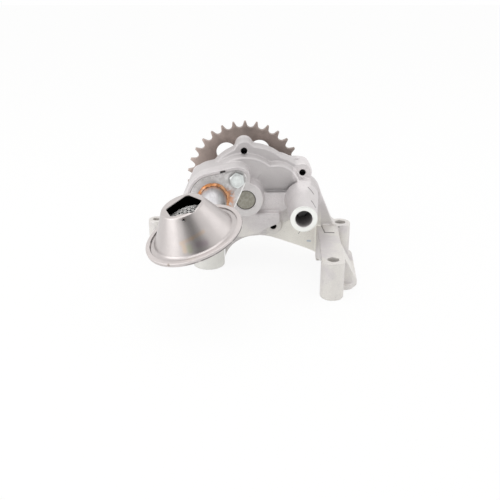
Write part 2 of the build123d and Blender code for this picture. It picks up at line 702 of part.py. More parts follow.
def strainer_bell():
    t = SHEET
    slope = (BELL_FOOT_R - BELL_TOP_R) / BELL_H
    edge = RIM_R - t - 0.3
    outer = spun(
        [(0, 0), (edge, 0), (edge, t), (BELL_FOOT_R, t), (BELL_TOP_R, BELL_H), (0, BELL_H)],
        [(3, 2.5), (4, 2.2)],
    )
    inner = spun(
        [(0, -1), (BELL_FOOT_R - t + slope, -1), (BELL_TOP_R - t * 0.6, BELL_H - t), (0, BELL_H - t)],
        [(2, 1.3)],
    )
    inlet = extrude(Pos(0, 0, BELL_H - 5) * inlet_outline(), amount=10)
    dimple = Pos(0.6, -BELL_TOP_R - 1.7, BELL_H - 2.2) * Rot(X=60) * Cylinder(0.9, 6)
    return rim_plane() * (outer - inner - inlet - dimple)


def strainer_screen():
    ball_r = (SCREEN_R**2 + SCREEN_H**2) / (2 * SCREEN_H)
    centre = SCREEN_H - ball_r
    dome = Pos(0, 0, centre) * (Sphere(ball_r) - Sphere(ball_r - SCREEN_T))
    dome &= Pos(0, 0, 10 - SCREEN_T / 2) * Cylinder(SCREEN_R + 5, 20)
    hem = Pos(0, 0, -SCREEN_T / 2) * (
        Cylinder(RIM_R - SHEET - 0.3, SCREEN_T) - Cylinder(SCREEN_R - 1.2, SCREEN_T)
    )
    return rim_plane() * (dome + hem)


def strainer_pan():
    t = SHEET
    low = -SCREEN_T  # the pan's flange face, under the screen's hem
    rim = spun(
        [(SCREEN_R, low - t), (RIM_R, low - t), (RIM_R, 2 * t), (RIM_R - RIM_FOLD, 2 * t),
         (RIM_R - RIM_FOLD, t), (RIM_R - t, t), (RIM_R - t, low), (SCREEN_R, low)],
        [(1, 0.7), (2, 0.7), (3, 0.3)],
    )
    dish = spun([(0, low), (SCREEN_R + 1, low), (SCREEN_R, low - t), (PAN_FLOOR_R, -PAN_DEPTH), (0, -PAN_DEPTH)])
    hollow = spun(
        [(0, low + 1), (SCREEN_R - 0.4, low + 1), (SCREEN_R - 0.4, low - 0.4),
         (PAN_FLOOR_R - 0.6, t - PAN_DEPTH), (0, t - PAN_DEPTH)]
    )
    place = rim_plane()
    path, away = tube_path()
    end = pan_entry()
    mouth = end - away * 16
    along = Plane(origin=mouth, z_dir=away)
    length = (end - mouth).length
    sleeve = along * extrude(Circle(TUBE_R + 0.1 + t), amount=length)
    sleeve += Pos(end) * Sphere(TUBE_R + 0.1 + t)
    socket = along * extrude(Circle(TUBE_R + 0.1), amount=length)
    socket += Pos(end) * Sphere(TUBE_R + 0.1)
    under = place * Pos(0, 0, low - t - 25) * Cylinder(RIM_R + 20, 50)
    pan = place * (rim + dish) + (sleeve & under)
    return pan - place * hollow - socket


def pan_braze():
    _, away = tube_path()
    mouth = pan_entry() - away * 16
    return braze_ring(Plane(origin=mouth, z_dir=-away), 1.0, 1.4)


def outlet_o_ring():
    return Pos(*OUTLET, 1.0) * Torus(OUTLET_BORE_R + 2.9, 0.95)


NODES = {
    "pump_housing": pump_housing,
    "rear_cover": rear_cover,
    "drive_shaft": drive_shaft,
    "rotor_key": rotor_key,
    "inner_rotor": inner_rotor,
    "outer_rotor": outer_rotor,
    "chain_sprocket": chain_sprocket,
    "sprocket_washer": sprocket_washer,
    "sprocket_bolt": sprocket_bolt,
    "cover_screws": cover_screws,
    "cover_dowels": cover_dowels,
    "relief_plunger": relief_plunger,
    "relief_spring": relief_spring,
    "relief_spring_seat": relief_spring_seat,
    "relief_circlip": relief_circlip,
    "suction_flange": suction_flange,
    "suction_tube": suction_tube,
    "flange_braze": flange_braze,
    "suction_o_ring": suction_o_ring,
    "suction_bolts": suction_bolts,
    "strainer_bell": strainer_bell,
    "strainer_screen": strainer_screen,
    "strainer_pan": strainer_pan,
    "pan_braze": pan_braze,
    "outlet_o_ring": outlet_o_ring,
}


def main():
    os.makedirs("parts", exist_ok=True)
    home = Pos(-OUTLET[0], -OUTLET[1], 0)
    for name, make in NODES.items():
        export_step(home * make(), f"parts/{name}.step")


main()
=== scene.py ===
"""Engine oil pump: the finished look of its castings, sheet, fasteners and screen, with a studio stage."""

import json
import math

import bmesh
import bpy
import numpy as np
from bpy.props import FloatProperty, FloatVectorProperty, IntProperty, PointerProperty
from bpy.types import Operator, Panel, PropertyGroup
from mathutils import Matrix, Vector, noise


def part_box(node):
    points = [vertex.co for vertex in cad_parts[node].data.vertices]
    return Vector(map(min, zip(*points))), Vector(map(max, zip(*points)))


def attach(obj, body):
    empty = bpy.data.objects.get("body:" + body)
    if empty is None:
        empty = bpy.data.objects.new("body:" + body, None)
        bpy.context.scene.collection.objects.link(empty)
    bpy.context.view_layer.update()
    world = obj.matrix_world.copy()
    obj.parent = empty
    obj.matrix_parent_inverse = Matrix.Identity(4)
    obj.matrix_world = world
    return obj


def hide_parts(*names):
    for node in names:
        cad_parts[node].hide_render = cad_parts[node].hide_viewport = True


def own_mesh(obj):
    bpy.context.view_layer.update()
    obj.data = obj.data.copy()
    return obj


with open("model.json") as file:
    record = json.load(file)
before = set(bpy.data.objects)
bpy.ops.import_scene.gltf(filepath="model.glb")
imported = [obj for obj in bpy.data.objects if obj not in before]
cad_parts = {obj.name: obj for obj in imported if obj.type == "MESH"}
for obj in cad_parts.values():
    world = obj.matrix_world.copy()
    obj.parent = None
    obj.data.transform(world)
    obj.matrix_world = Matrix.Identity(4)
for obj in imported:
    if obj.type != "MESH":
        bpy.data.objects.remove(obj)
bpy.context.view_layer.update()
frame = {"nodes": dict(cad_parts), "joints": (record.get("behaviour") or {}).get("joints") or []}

bl_info = {
    "name": "Oil pump finishes",
    "version": (1, 0, 0),
    "blender": (4, 5, 0),
    "location": "3D View > Sidebar > Oil Pump",
    "description": "Dresses the parts of an engine oil pump and sets them in a small studio",
    "category": "Object",
}

MM = 0.001

# Points of a mesh that are nearer to each other than this are one point
WELD = 0.004 * MM

# Places in the part's own frame, in millimetres
OUTLET = Vector((0.0, 0.0, 0.0))
SHAFT = Vector((30.4, 0.0, 60.4))
CHAIN_LINE = 44.8
BARREL_AXIS = Vector((74.1, 0.0, 53.3))
BARREL_END = -37.7
RIGHT_LOBE = Vector((54.8, 0.0, 66.1))
SCREW_LOBE = Vector((76.0, 0.0, 76.3))
GALLERY = Vector((52.0, 0.0, 54.0))
SUCTION = Vector((5.5, 0.0, 63.2))
SEAT_FACE = -14.2
PLATE_FACE = -17.7
NEAR_FOOT = Vector((94.6, -60.0, 30.0))
REAR_FOOT = Vector((108.7, 11.0, 32.6))
LEFT_FOOT = Vector((-43.9, 21.3, 32.0))
SPROCKET_DARK_PATCH = Vector((33.4, 42.3, 103.5))

# Screws through the cover and bolts of the flange, as (x, z, turn of the head in degrees)
COVER_SCREWS = ((29.4, 94.1, 10), (76.0, 76.3, 37), (53.0, 32.4, 52), (-6.1, 69.5, 23))
FLANGE_BOLTS = ((23.8, 78.3, -8), (-12.8, 48.1, 15))

# Where the heads of the cover screws and of the sprocket's bolt sit, and the height of a flange bolt's head
COVER_BACK = 30.8
SPROCKET_BOLT_SEAT, SPROCKET_BOLT_TURN = 52.3, 12
BOLT_HEAD = 4.4

# The front faces that the cover screws' tapped holes open in: the flange's, and the lowest boss's
FLANGE_FACE, BOSS_FACE = 6.8, 1.8

# The corner of the suction flange that gets a painted highlight line
PLATE_EDGE = (Vector((32.1, -17.7, 80.6)), Vector((22.1, -17.7, 56.6)))

# The strainer about the centre of its rim
RIM_CENTRE = Vector((-4.95, -94.7, 64.3))
RIM_UP = Vector((-0.289, -0.18, 0.94)).normalized()
RIM_R, RIM_FOLD = 34.0, 3.2
BELL_FOOT_R, BELL_TOP_R, BELL_H = 27.8, 14.6, 23.8
BELL_TAPER = (BELL_FOOT_R - BELL_TOP_R) / BELL_H
SCREEN_R, SCREEN_H = 25.8, 18.5
PAN_FLOOR_R, PAN_DEPTH, PAN_SLOPE = 19.8, 6.5, 1.224
DIMPLE = Vector((-9.4, -114.1, 82.2))
RIM_NICK = Vector((-19.6, -124.0, 55.2))


# What a user would change


def millimetres(name, description, default, low, high):
    """A length, whose default and limits are given in millimetres."""
    return FloatProperty(
        name=name,
        description=description,
        default=default * MM,
        min=low * MM,
        max=high * MM,
        unit="LENGTH",
        precision=5,
    )


def paint(name, description, default):
    return FloatVectorProperty(
        name=name, description=description, default=default, size=3, subtype="COLOR", min=0, max=1
    )


def watts(name, description, default):
    return FloatProperty(name=name, description=description, default=default, min=0, unit="POWER")


def share(name, description, default, high=1):
    return FloatProperty(
        name=name, description=description, default=default, min=0, max=high, subtype="FACTOR"
    )


class PumpSizes(PropertyGroup):
    cast_softness: IntProperty(
        name="Cast softness",
        description="Smoothing passes that run the casting's corners together",
        default=4,
        min=0,
        max=60,
    )
    cast_grain: millimetres("Cast grain", "Cell of the casting's skin", 0.5, 0.4, 3.0)
    wire_pitch: millimetres("Wire pitch", "Spacing of the strainer's wires", 2.8, 0.6, 4.0)
    wire_radius: millimetres("Wire radius", "Radius of one strainer wire", 0.3, 0.05, 1.0)
    teeth: IntProperty(
        name="Sprocket teeth", description="Teeth round the chain sprocket", default=31, min=9, max=60
    )
    chain_pitch: millimetres("Chain pitch", "Pitch of the roller chain", 9.525, 5.0, 20.0)
    tip_radius: millimetres("Tip radius", "Radius over the sprocket's teeth", 49.1, 10.0, 200.0)
    bolt_flats: millimetres("Bolt head", "Width across flats of the flange bolts", 10.4, 5.0, 20.0)
    screw_flats: millimetres("Screw head", "Width across flats of the cover screws", 8.0, 5.0, 20.0)


class PumpColours(PropertyGroup):
    aluminium: paint("Cast aluminium", "Colour of the castings", (0.665, 0.635, 0.635))
    sprocket: paint("Sprocket steel", "Colour of the browned sprocket", (0.35, 0.285, 0.257))
    sheet: paint("Sheet steel", "Colour of the strainer's sheet", (0.60, 0.56, 0.55))
    copper: paint("Copper braze", "Colour of the braze metal", (0.66, 0.29, 0.12))
    zinc: paint("Zinc plate", "Colour of the plated fasteners", (0.80, 0.84, 0.83))


class PumpStudio(PropertyGroup):
    key_power: watts("Key light", "Power of the large lamp over the pump", 2.0)
    left_power: watts("Left light", "Power of the lamp at the left", 2.0)
    right_power: watts("Right light", "Power of the lamp at the right", 0.8)
    surround: share("Surround", "Strength of the white room round the pump", 1.0, high=2)
    dark_end: share(
        "Dark end", "Share of the room's light that its open end, behind the camera, keeps", 0.03
    )


# Shader and geometry maths as expressions


class Value:
    """An output socket. Each operator adds the Math node that it stands for."""

    def __init__(self, nodes, socket):
        self.nodes = nodes
        self.socket = socket

    def math(self, operation, *others):
        return self.nodes.add("ShaderNodeMath", dict(enumerate((self, *others))), {"operation": operation})

    def other(self, name):
        """Another output of the same node."""
        return Value(self.nodes, self.socket.node.outputs[name])

    def __add__(self, other):
        return self.math("ADD", other)

    __radd__ = __add__

    def __mul__(self, other):
        return self.math("MULTIPLY", other)

    __rmul__ = __mul__

    def __sub__(self, other):
        return self.math("SUBTRACT", other)

    def __rsub__(self, other):
        return self.nodes.add("ShaderNodeMath", {0: other, 1: self}, {"operation": "SUBTRACT"})

    def __truediv__(self, other):
        return self.math("DIVIDE", other)

    def over(self, low, high):
        """0 below low and 1 above high, with a smooth step between."""
        sockets = {0: self, 1: low, 2: high}
        return self.nodes.add("ShaderNodeMapRange", sockets, {"interpolation_type": "SMOOTHSTEP"})

    def under(self, low, high):
        return 1 - self.over(low, high)


class Nodes:
    """A node tree that is filled in by add, one node at a time."""

    def __init__(self, tree):
        self.tree = tree
        tree.nodes.clear()

    def add(self, kind, sockets=None, settings=None, out=0):
        """A new node as the Value of one of its outputs, or the node itself where it has none."""
        made = self.tree.nodes.new(kind)
        for key, value in (settings or {}).items():
            setattr(made, key, value)
        for key, value in (sockets or {}).items():
            for one in value if isinstance(value, list) else [value]:
                self.fill(made.inputs[key], one)
        return Value(self, made.outputs[out]) if len(made.outputs) else made

    def fill(self, socket, value):
        if isinstance(value, Value):
            self.tree.links.new(value.socket, socket)
        elif socket.type == "RGBA":
            socket.default_value = (*value[:3], 1.0)
        else:
            socket.default_value = value

    def split(self, vector):
        first = self.add("ShaderNodeSeparateXYZ", {0: vector})
        return first, first.other("Y"), first.other("Z")


class Finish(Nodes):
    """A material. Lengths inside it are millimetres."""

    def __init__(self, name):
        self.material = bpy.data.materials.new(name)
        self.material.use_nodes = True
        super().__init__(self.material.node_tree)
        place = self.add("ShaderNodeTexCoord", out="Object")
        self.place = self.add("ShaderNodeVectorMath", {0: place, "Scale": 1 / MM}, {"operation": "SCALE"})
        self.x, self.y, self.z = self.split(self.place)

    def mix(self, factor, a, b):
        return self.add("ShaderNodeMix", {0: factor, 6: a, 7: b}, {"data_type": "RGBA"}, out=2)

    def layered(self, shade, *layers):
        """The shade with layers mixed over it in turn, each a mask and a colour."""
        for mask, colour in layers:
            shade = self.mix(mask, shade, colour)
        return shade

    def strokes(self, marks, core):
        """Layers for short strokes, which keep their strength to this share of their half width."""
        return [
            (self.stroke(start, end).under(width * core, width) * strength, colour)
            for start, end, width, strength, colour in marks
        ]

    def noise(self, size, detail, rough, stretch=None):
        """Noise from 0 to 1 whose features are about size millimetres across."""
        where = self.place
        if stretch:
            where = self.add("ShaderNodeMapping", {0: where, "Scale": stretch})
        sockets = {"Vector": where, "Scale": 1 / size, "Detail": detail, "Roughness": rough}
        return self.add("ShaderNodeTexNoise", sockets)

    def rings(self, distance, count, detail=3.0):
        """Noise that changes only with a distance, count features to the millimetre."""
        sockets = {"W": distance * count, "Detail": detail, "Roughness": 0.65}
        return self.add("ShaderNodeTexNoise", sockets, {"noise_dimensions": "1D"})

    def cells(self, size):
        return self.add("ShaderNodeTexVoronoi", {"Vector": self.place, "Scale": 1 / size})

    def away(self, centre, axes="xyz"):
        """Distance from a point, or from a line where an axis is left out."""
        total = None
        for name, part, at in zip("xyz", (self.x, self.y, self.z), centre):
            if name in axes:
                square = (part - at) * (part - at)
                total = square if total is None else total + square
        return total.math("SQRT")

    def along(self, start, way):
        """Distance from a point, measured along a direction."""
        return (self.x - start.x) * way.x + (self.y - start.y) * way.y + (self.z - start.z) * way.z

    def stroke(self, start, end):
        """Distance from the straight stroke between two points."""
        a, b = Vector(start), Vector(end)
        way = (b - a).normalized()
        reach = self.along(a, way).math("MAXIMUM", 0.0).math("MINIMUM", (b - a).length)
        parts = [part - a[i] - reach * way[i] for i, part in enumerate((self.x, self.y, self.z))]
        return sum(part * part for part in parts).math("SQRT")

    def on_rim(self):
        """Height above the strainer's rim plane and distance from its axis."""
        rise = self.along(RIM_CENTRE, RIM_UP)
        whole = self.away(RIM_CENTRE)
        return rise, (whole * whole - rise * rise).math("MAXIMUM", 0.0).math("SQRT")

    def cover(self, shade, metal, rough, height, bump):
        """Ends the material in one Principled shader, whose bumps have this height in millimetres."""
        normal = self.add("ShaderNodeBump", {"Height": height, "Strength": bump, "Distance": MM})
        sockets = {"Base Color": shade, "Metallic": metal, "Roughness": rough, "Normal": normal}
        shader = self.add("ShaderNodeBsdfPrincipled", sockets)
        self.add("ShaderNodeOutputMaterial", {0: shader})
        return self.material


def tone(colour, factor):
    return tuple(min(1.0, c * factor) for c in colour)


def colours():
    return bpy.context.scene.pump_colours


# Short strokes on the housing, mostly painted shadow lines: start, end, half width in mm, strength, colour
DARK_LINE, BLUE = (0.10, 0.095, 0.095), (0.16, 0.30, 0.50)
SHADOWS_AND_MARKS = (
    # Painted shadow lines in the creases beside the relief barrel
    ((79.2, -10.5, 69.2), (83.2, -15.0, 65.7), 0.8, 0.85, DARK_LINE),
    ((80.4, -26.8, 63.9), (83.5, -30.5, 60.2), 0.8, 0.85, DARK_LINE),
    # A painted shadow under the rear boss
    ((102.7, 5.0, 31.0), (106.9, 2.7, 31.0), 0.7, 0.6, DARK_LINE),
    # Short dark lines
    ((79.1, 7.2, 82.9), (79.9, 7.2, 82.9), 0.35, 0.9, DARK_LINE),
    ((80.2, -28.0, 63.7), (84.1, -28.1, 59.2), 0.35, 0.5, DARK_LINE),
    ((74.1, 8.8, 22.8), (75.6, 8.8, 24.8), 0.35, 0.6, DARK_LINE),
    # A blue mark
    ((82.2, 8.8, 16.5), (84.2, 8.8, 16.3), 1.1, 0.45, BLUE),
    # Painted shadow lines along the step of the L on the deck
    ((93.1, 7.6, 30.3), (94.2, -7.6, 30.3), 0.5, 0.8, DARK_LINE),
    ((94.2, -7.6, 30.4), (101.6, -7.9, 30.4), 0.5, 0.9, DARK_LINE),
)


def cast_metal(name, machined, holes):
    """Shot-blasted cast aluminium. machined gives a mask of the machined finish, and holes a mask of painted
    shade in the holes.
    """
    f = Finish(name)
    base = tuple(colours().aluminium)
    blotch = f.noise(6.0, 4.0, 0.6)
    grain = f.noise(0.55, 3.0, 0.7)
    pits = f.noise(1.5, 2.0, 0.5).over(0.68, 0.76)
    cut = machined(f)
    lines = f.noise(0.35, 2.0, 0.5)
    broad = f.noise(26.0, 3.0, 0.55).over(0.35, 0.65)
    shade = f.layered(
        f.mix(broad, tone(base, 0.96), (base[0], base[1], base[2] * 1.01)),
        (blotch.over(0.40, 0.72) * 0.42, tone(base, 0.84)),
        *casting_faces(f, base, blotch),
        (grain.over(0.40, 0.62) * 0.30, tone(base, 0.72)),
        (pits * 0.35, tone(base, 0.55)),
        *casting_hollows(f, base),
        # Painted shadow lines, and a blue mark
        *f.strokes(SHADOWS_AND_MARKS, 0.45),
        (cut, f.mix(lines.over(0.35, 0.65) * 0.25, (0.92, 0.93, 0.90), (0.84, 0.85, 0.82))),
        # Painted shade in the holes
        (holes(f), (0.012, 0.012, 0.012)),
    )
    height = (blotch * 0.10 + grain * 0.055 - pits * 0.05) * (1 - cut) + lines * 0.012
    rough = f.noise(3.0, 3.0, 0.6) * 0.14 + 0.40 - cut * 0.10
    return f.cover(shade, metal=0.42, rough=rough, height=height, bump=0.9)


def casting_faces(f, base, blotch):
    """Layers of painted light and shade on faces of the casting: painted light on the low faces, the gallery
    block, round the screw lobe and, warm, on the web; painted shade on the crest and the upper faces.
    """
    low = f.z.under(30.0, 52.0) * f.noise(17.0, 2.0, 0.5).over(0.30, 0.60)
    gallery = f.away(GALLERY, "xz").under(3.0, 13.0) * f.y.under(-4.7, -4.2) * f.z.under(62.8, 63.3)
    crest = f.z.over(82.0, 95.0) * f.y.under(21.0, 21.3)
    from_lobe = f.away(SCREW_LOBE, "xz")
    web = f.y.over(8.0, 8.4) * f.y.under(9.5, 10.0) * f.z.under(30.0, 46.0)
    web = web * f.x.over(42.0, 72.0) * f.x.under(92.0, 93.0)
    upper = f.z.over(60.5, 66.0) * f.y.over(-5.0, -4.3) * f.y.under(21.2, 21.4) * from_lobe.over(8.0, 10.0)
    return (
        (low * 0.8, (base[0] * 1.14, base[1] * 1.16, base[2] * 1.09)),
        (gallery * 0.8, tone(base, 1.16)),
        (crest * 0.72, tone(base, 0.68)),
        (from_lobe.under(6.5, 9.5) * 0.55, tone(base, 1.28)),
        (web * (blotch * 0.5 + 0.7), (0.96, 0.945, 0.875)),
        (upper * 0.75, tone(base, 0.80)),
    )


def casting_hollows(f, base):
    """Layers of painted shade in the hollow under the right lobe, and of painted light on the column of the
    outlet.
    """
    hollow = f.away(RIGHT_LOBE, "xz").under(12.0, 21.0) * f.z.under(64.5, 86.0) * f.z.over(62.9, 63.6)
    hollow = hollow * f.y.over(-5.3, -4.6) * f.away(SHAFT, "xz").over(14.5, 17.0)
    column = f.away(OUTLET, "xy").under(13.3, 14.2) * f.z.under(38.0, 46.0)
    return (
        (hollow * (f.z.under(64.2, 66.5) * 0.38 + 0.40), tone(base, 0.42)),
        (column * 0.5, (0.78, 0.79, 0.75)),
    )


def housing_cuts(f):
    """The barrel's end, the shaft boss, and the undersides of the feet."""
    end = f.y.under(BARREL_END + 0.15, BARREL_END + 0.45) * f.away(BARREL_AXIS, "xz").under(11.5, 12.0)
    boss = f.away(SHAFT, "xz").under(15.0, 15.5) * f.y.under(SEAT_FACE + 0.1, SEAT_FACE + 0.3) * 0.15
    return end.math("MAXIMUM", boss).math("MAXIMUM", f.z.under(0.1, 0.3))


def housing_hole_shade(f):
    """Painted shade inside the tapped holes and the relief barrel, and in the gap round the shaft."""
    dark = f.away(BARREL_AXIS, "xz").under(6.9, 7.3) * f.y.over(BARREL_END + 0.3, BARREL_END + 9.0) * 0.45
    gap = f.away(SHAFT, "xz").under(8.0, 8.3) * f.y.over(SEAT_FACE + 0.4, SEAT_FACE + 1.0)
    dark = dark.math("MAXIMUM", gap * 0.85)
    for x, z, _ in COVER_SCREWS:
        face = BOSS_FACE if z < 40 else FLANGE_FACE
        hole = f.away((x, 0, z), "xz").under(2.75, 3.05) * f.y.over(face + 0.1, face + 0.7)
        dark = dark.math("MAXIMUM", hole)
    return dark


def nowhere(f):
    """An empty mask, since the pump isn't this tall."""
    return f.z.over(900.0, 901.0)


def browned_steel():
    """The sprocket's dull brown face, with lighter tips, a dark patch near the top, painted light on the
    left and painted shade on the right.
    """
    f = Finish("browned sprocket steel")
    base = tuple(colours().sprocket)
    cloud = f.noise(11.0, 3.0, 0.6)
    speck = f.noise(0.8, 3.0, 0.7)
    tips = f.away(SHAFT, "xz").over(43.2, 46.8) * f.noise(2.4, 2.0, 0.5).over(0.30, 0.55)
    dark_patch = f.away(SPROCKET_DARK_PATCH).under(2.0, 7.5) * cloud.over(0.25, 0.6)
    shade = f.layered(
        f.mix(cloud.over(0.35, 0.68), tone(base, 0.90), tone(base, 1.14)),
        (speck.over(0.45, 0.65) * 0.28, tone(base, 0.66)),
        (tips * 0.45, tone(base, 1.45)),
        # Painted shade on the right side and painted light on the left side
        (f.x.over(40.0, 72.0) * 0.6, tone(base, 0.72)),
        (f.x.under(-8.0, 20.0) * f.z.under(70.0, 100.0) * 0.5, tone(base, 1.5)),
        (dark_patch * 0.55, tone(base, 0.36)),
    )
    height = speck * 0.035 + cloud * 0.05
    return f.cover(shade, metal=0.55, rough=speck * 0.12 + 0.42, height=height, bump=0.7)


# Heat tints on the bell: start, end, half width in mm, strength, colour
TINTS = (
    ((-11.4, -118.1, 67.6), (-4.5, -117.8, 71.0), 2.2, 0.40, (0.70, 0.50, 0.32)),
    ((-4.5, -117.8, 71.0), (2.5, -115.5, 74.5), 2.2, 0.40, (0.70, 0.50, 0.32)),
    ((-6.3, -119.7, 65.9), (-5.6, -120.4, 63.6), 3.2, 0.45, (0.46, 0.50, 0.30)),
    ((-9.6, -119.0, 65.9), (-9.0, -120.0, 63.0), 2.6, 0.45, (0.74, 0.55, 0.36)),
    ((-0.4, -119.3, 67.4), (4.0, -118.4, 68.0), 3.6, 0.40, (0.36, 0.26, 0.33)),
)


def sheet_steel(name, brightness, rough, details):
    """Spun sheet with faint rings and fine scratches. details gives its further layers and the mask of
    painted shade on its inside.
    """
    f = Finish(name)
    base = tone(colours().sheet, brightness)
    rise, out = f.on_rim()
    rings = f.rings(rise, 2.2)
    cloud = f.noise(9.0, 3.0, 0.55)
    speck = f.noise(0.6, 2.0, 0.6)
    layers, inside = details(f, rise, out)
    shade = f.layered(
        f.mix(cloud.over(0.35, 0.65), tone(base, 0.94), base),
        (rings.over(0.42, 0.62) * 0.22, tone(base, 0.84)),
        (speck.over(0.5, 0.7) * 0.10, tone(base, 0.7)),
        *layers,
        # Painted shade on the inside
        (inside, (0.010, 0.010, 0.010)),
    )
    height = rings * 0.02 + speck * 0.008 + cloud * 0.06
    rough = rough + rings * 0.10 + speck * 0.06 + inside * 0.4
    return f.cover(shade, metal=0.92, rough=rough, height=height, bump=0.55)


def bell_details(f, rise, out):
    """The heat tints, the brown edge of the small hole, and painted shade on the inside."""
    from_dimple = f.away(DIMPLE)
    wall = BELL_FOOT_R - rise * BELL_TAPER - out
    inside = wall.over(0.40, 0.55) * rise.under(BELL_H - 0.6, BELL_H - 0.45) * from_dimple.over(2.0, 2.4)
    return (*f.strokes(TINTS, 0.1), (from_dimple.under(0.8, 2.0) * 0.7, (0.30, 0.25, 0.23))), inside


def pan_details(f, rise, out):
    """Painted shadow lines where the rim folds over the bell, the nick at its front, and painted shade on
    the inside.
    """
    groove = (out - (RIM_R - RIM_FOLD)).math("ABSOLUTE").under(0.05, 0.24) * rise.over(0.0, 0.3)
    seam = (rise + 0.2).math("ABSOLUTE").under(0.15, 0.55) * out.over(RIM_R - 0.7, RIM_R - 0.3)
    sides = f.x.under(-22.0, -8.0) + f.x.over(13.0, 16.0) * f.y.over(-96.0, -91.0) * 0.6
    lines = (groove * sides + seam * f.x.over(-14.0, -2.0)) * f.noise(5.0, 2.0, 0.5).over(0.30, 0.50)
    wall = (rise + PAN_DEPTH) * PAN_SLOPE + PAN_FLOOR_R - out
    inside = wall.over(0.30, 0.60) * rise.over(0.3 - PAN_DEPTH, 0.6 - PAN_DEPTH)
    return ((lines * 0.85, DARK_LINE), (f.away(RIM_NICK).under(0.5, 1.3) * 0.7, (0.30, 0.24, 0.20))), inside


def plate_steel():
    """The suction flange: pressed plate with a heat stain and a copper streak, painted highlights on its
    side and along one edge, and painted shade round a bolt.
    """
    f = Finish("flange plate steel")
    ring = f.away(SUCTION, "xz")
    cloud = f.noise(4.0, 4.0, 0.62)
    speck = f.noise(0.7, 2.0, 0.6)
    stain = ring.under(11.5, 16.5) * f.x.under(9.0, 15.0) * cloud.over(0.42, 0.60)
    streak = ring.under(13.5, 18.0) * f.x.over(12.0, 16.0) * f.z.under(68.0, 73.0)
    streak = streak * f.noise(2.6, 3.0, 0.6).over(0.36, 0.52)
    side = f.y.over(PLATE_FACE + 0.05, PLATE_FACE + 0.25)
    x, z, _ = FLANGE_BOLTS[0]
    shade_round_bolt = f.away((x, 0, z), "xz").under(6.1, 7.8) * (1 - side)
    edge = f.stroke(*PLATE_EDGE).under(0.35, 0.85) * f.z.under(74.0, 77.0)
    shade = f.layered(
        f.mix(cloud.over(0.38, 0.66), (0.58, 0.565, 0.56), (0.80, 0.785, 0.785)),
        (stain * 0.75, (0.27, 0.235, 0.22)),
        (streak * 0.9, (0.66, 0.33, 0.19)),
        # Painted highlight on the plate's side, painted shade round the bolt, and a painted highlight line
        # along one edge
        (side * 0.9, (0.94, 0.94, 0.93)),
        (shade_round_bolt * 0.6, (0.33, 0.32, 0.315)),
        (edge, (0.97, 0.965, 0.96)),
    )
    metal = 0.75 - side.math("MAXIMUM", edge) * 0.5
    height = cloud * 0.10 + speck * 0.02
    return f.cover(shade, metal=metal, rough=0.30 + cloud * 0.16, height=height, bump=0.8)


def tube_steel():
    """Drawn tube with long faint lines, browned near the joint, with painted shade on its right side."""
    f = Finish("suction tube steel")
    drawn = f.noise(1.2, 2.0, 0.5, stretch=(1.0, 0.12, 1.0))
    cloud = f.noise(6.0, 3.0, 0.55)
    shade = f.layered(
        f.mix(cloud.over(0.35, 0.65), (0.74, 0.73, 0.75), (0.84, 0.83, 0.85)),
        (drawn.over(0.45, 0.62) * 0.25, (0.56, 0.55, 0.56)),
        # Painted shade on the tube's right side
        (f.x.over(SUCTION.x + 1.0, SUCTION.x + 8.5) * 0.75, (0.30, 0.28, 0.27)),
        (f.y.over(-24.0, -19.5) * cloud.over(0.35, 0.6) * 0.6, (0.52, 0.40, 0.34)),
    )
    height = drawn * 0.02 + cloud * 0.05
    return f.cover(shade, metal=0.9, rough=0.24 + drawn * 0.12, height=height, bump=0.6)


def copper_braze():
    """Braze metal that has flowed: orange copper, browner and duller in its hollows, with painted light on
    its right side.
    """
    f = Finish("copper braze metal")
    base = tuple(colours().copper)
    cloud = f.noise(2.2, 4.0, 0.6)
    speck = f.noise(0.5, 2.0, 0.6)
    shade = f.layered(
        f.mix(cloud.over(0.35, 0.66), tone(base, 0.55), tone(base, 1.05)),
        (f.noise(4.0, 3.0, 0.6).over(0.50, 0.64) * 0.6, (0.52, 0.42, 0.35)),
        (speck.over(0.52, 0.70) * 0.35, tone(base, 0.42)),
        # Painted light on the right side
        (f.x.over(9.0, 14.0) * 0.5, (0.86, 0.50, 0.28)),
    )
    height = cloud * 0.20 + speck * 0.03
    return f.cover(shade, metal=0.85, rough=0.30 + cloud * 0.22, height=height, bump=0.9)


def zinc_plate():
    """Bright zinc, with painted shade on the cover screws' threads inside their holes, at the foot of the
    flange bolts' heads and on the tops of those heads.
    """
    f = Finish("bright zinc plate")
    base = tuple(colours().zinc)
    bloom = f.cells(0.9)
    cloud = f.noise(2.5, 3.0, 0.6)
    root = f.y.over(PLATE_FACE - 1.9, PLATE_FACE - 0.3) * f.y.under(PLATE_FACE + 0.2, PLATE_FACE + 0.7)
    head_top = PLATE_FACE - BOLT_HEAD
    shade = f.layered(
        f.mix(cloud.over(0.35, 0.65), tone(base, 0.92), tone(base, 1.08)),
        (bloom.over(0.2, 0.7) * 0.08, tone(base, 0.7)),
        # Painted shade on the threads in the holes, at the foot of the bolts' heads and on the heads' tops
        (f.y.over(-5.0, 8.0) * f.y.under(26.0, 28.0), (0.02, 0.02, 0.02)),
        (root * 0.75, (0.22, 0.22, 0.22)),
        (f.y.under(head_top + 0.05, head_top + 0.15) * 0.6, tone(base, 0.82)),
    )
    height = cloud * 0.02 + bloom * 0.01
    return f.cover(shade, metal=0.6, rough=0.26 + cloud * 0.12, height=height, bump=0.4)


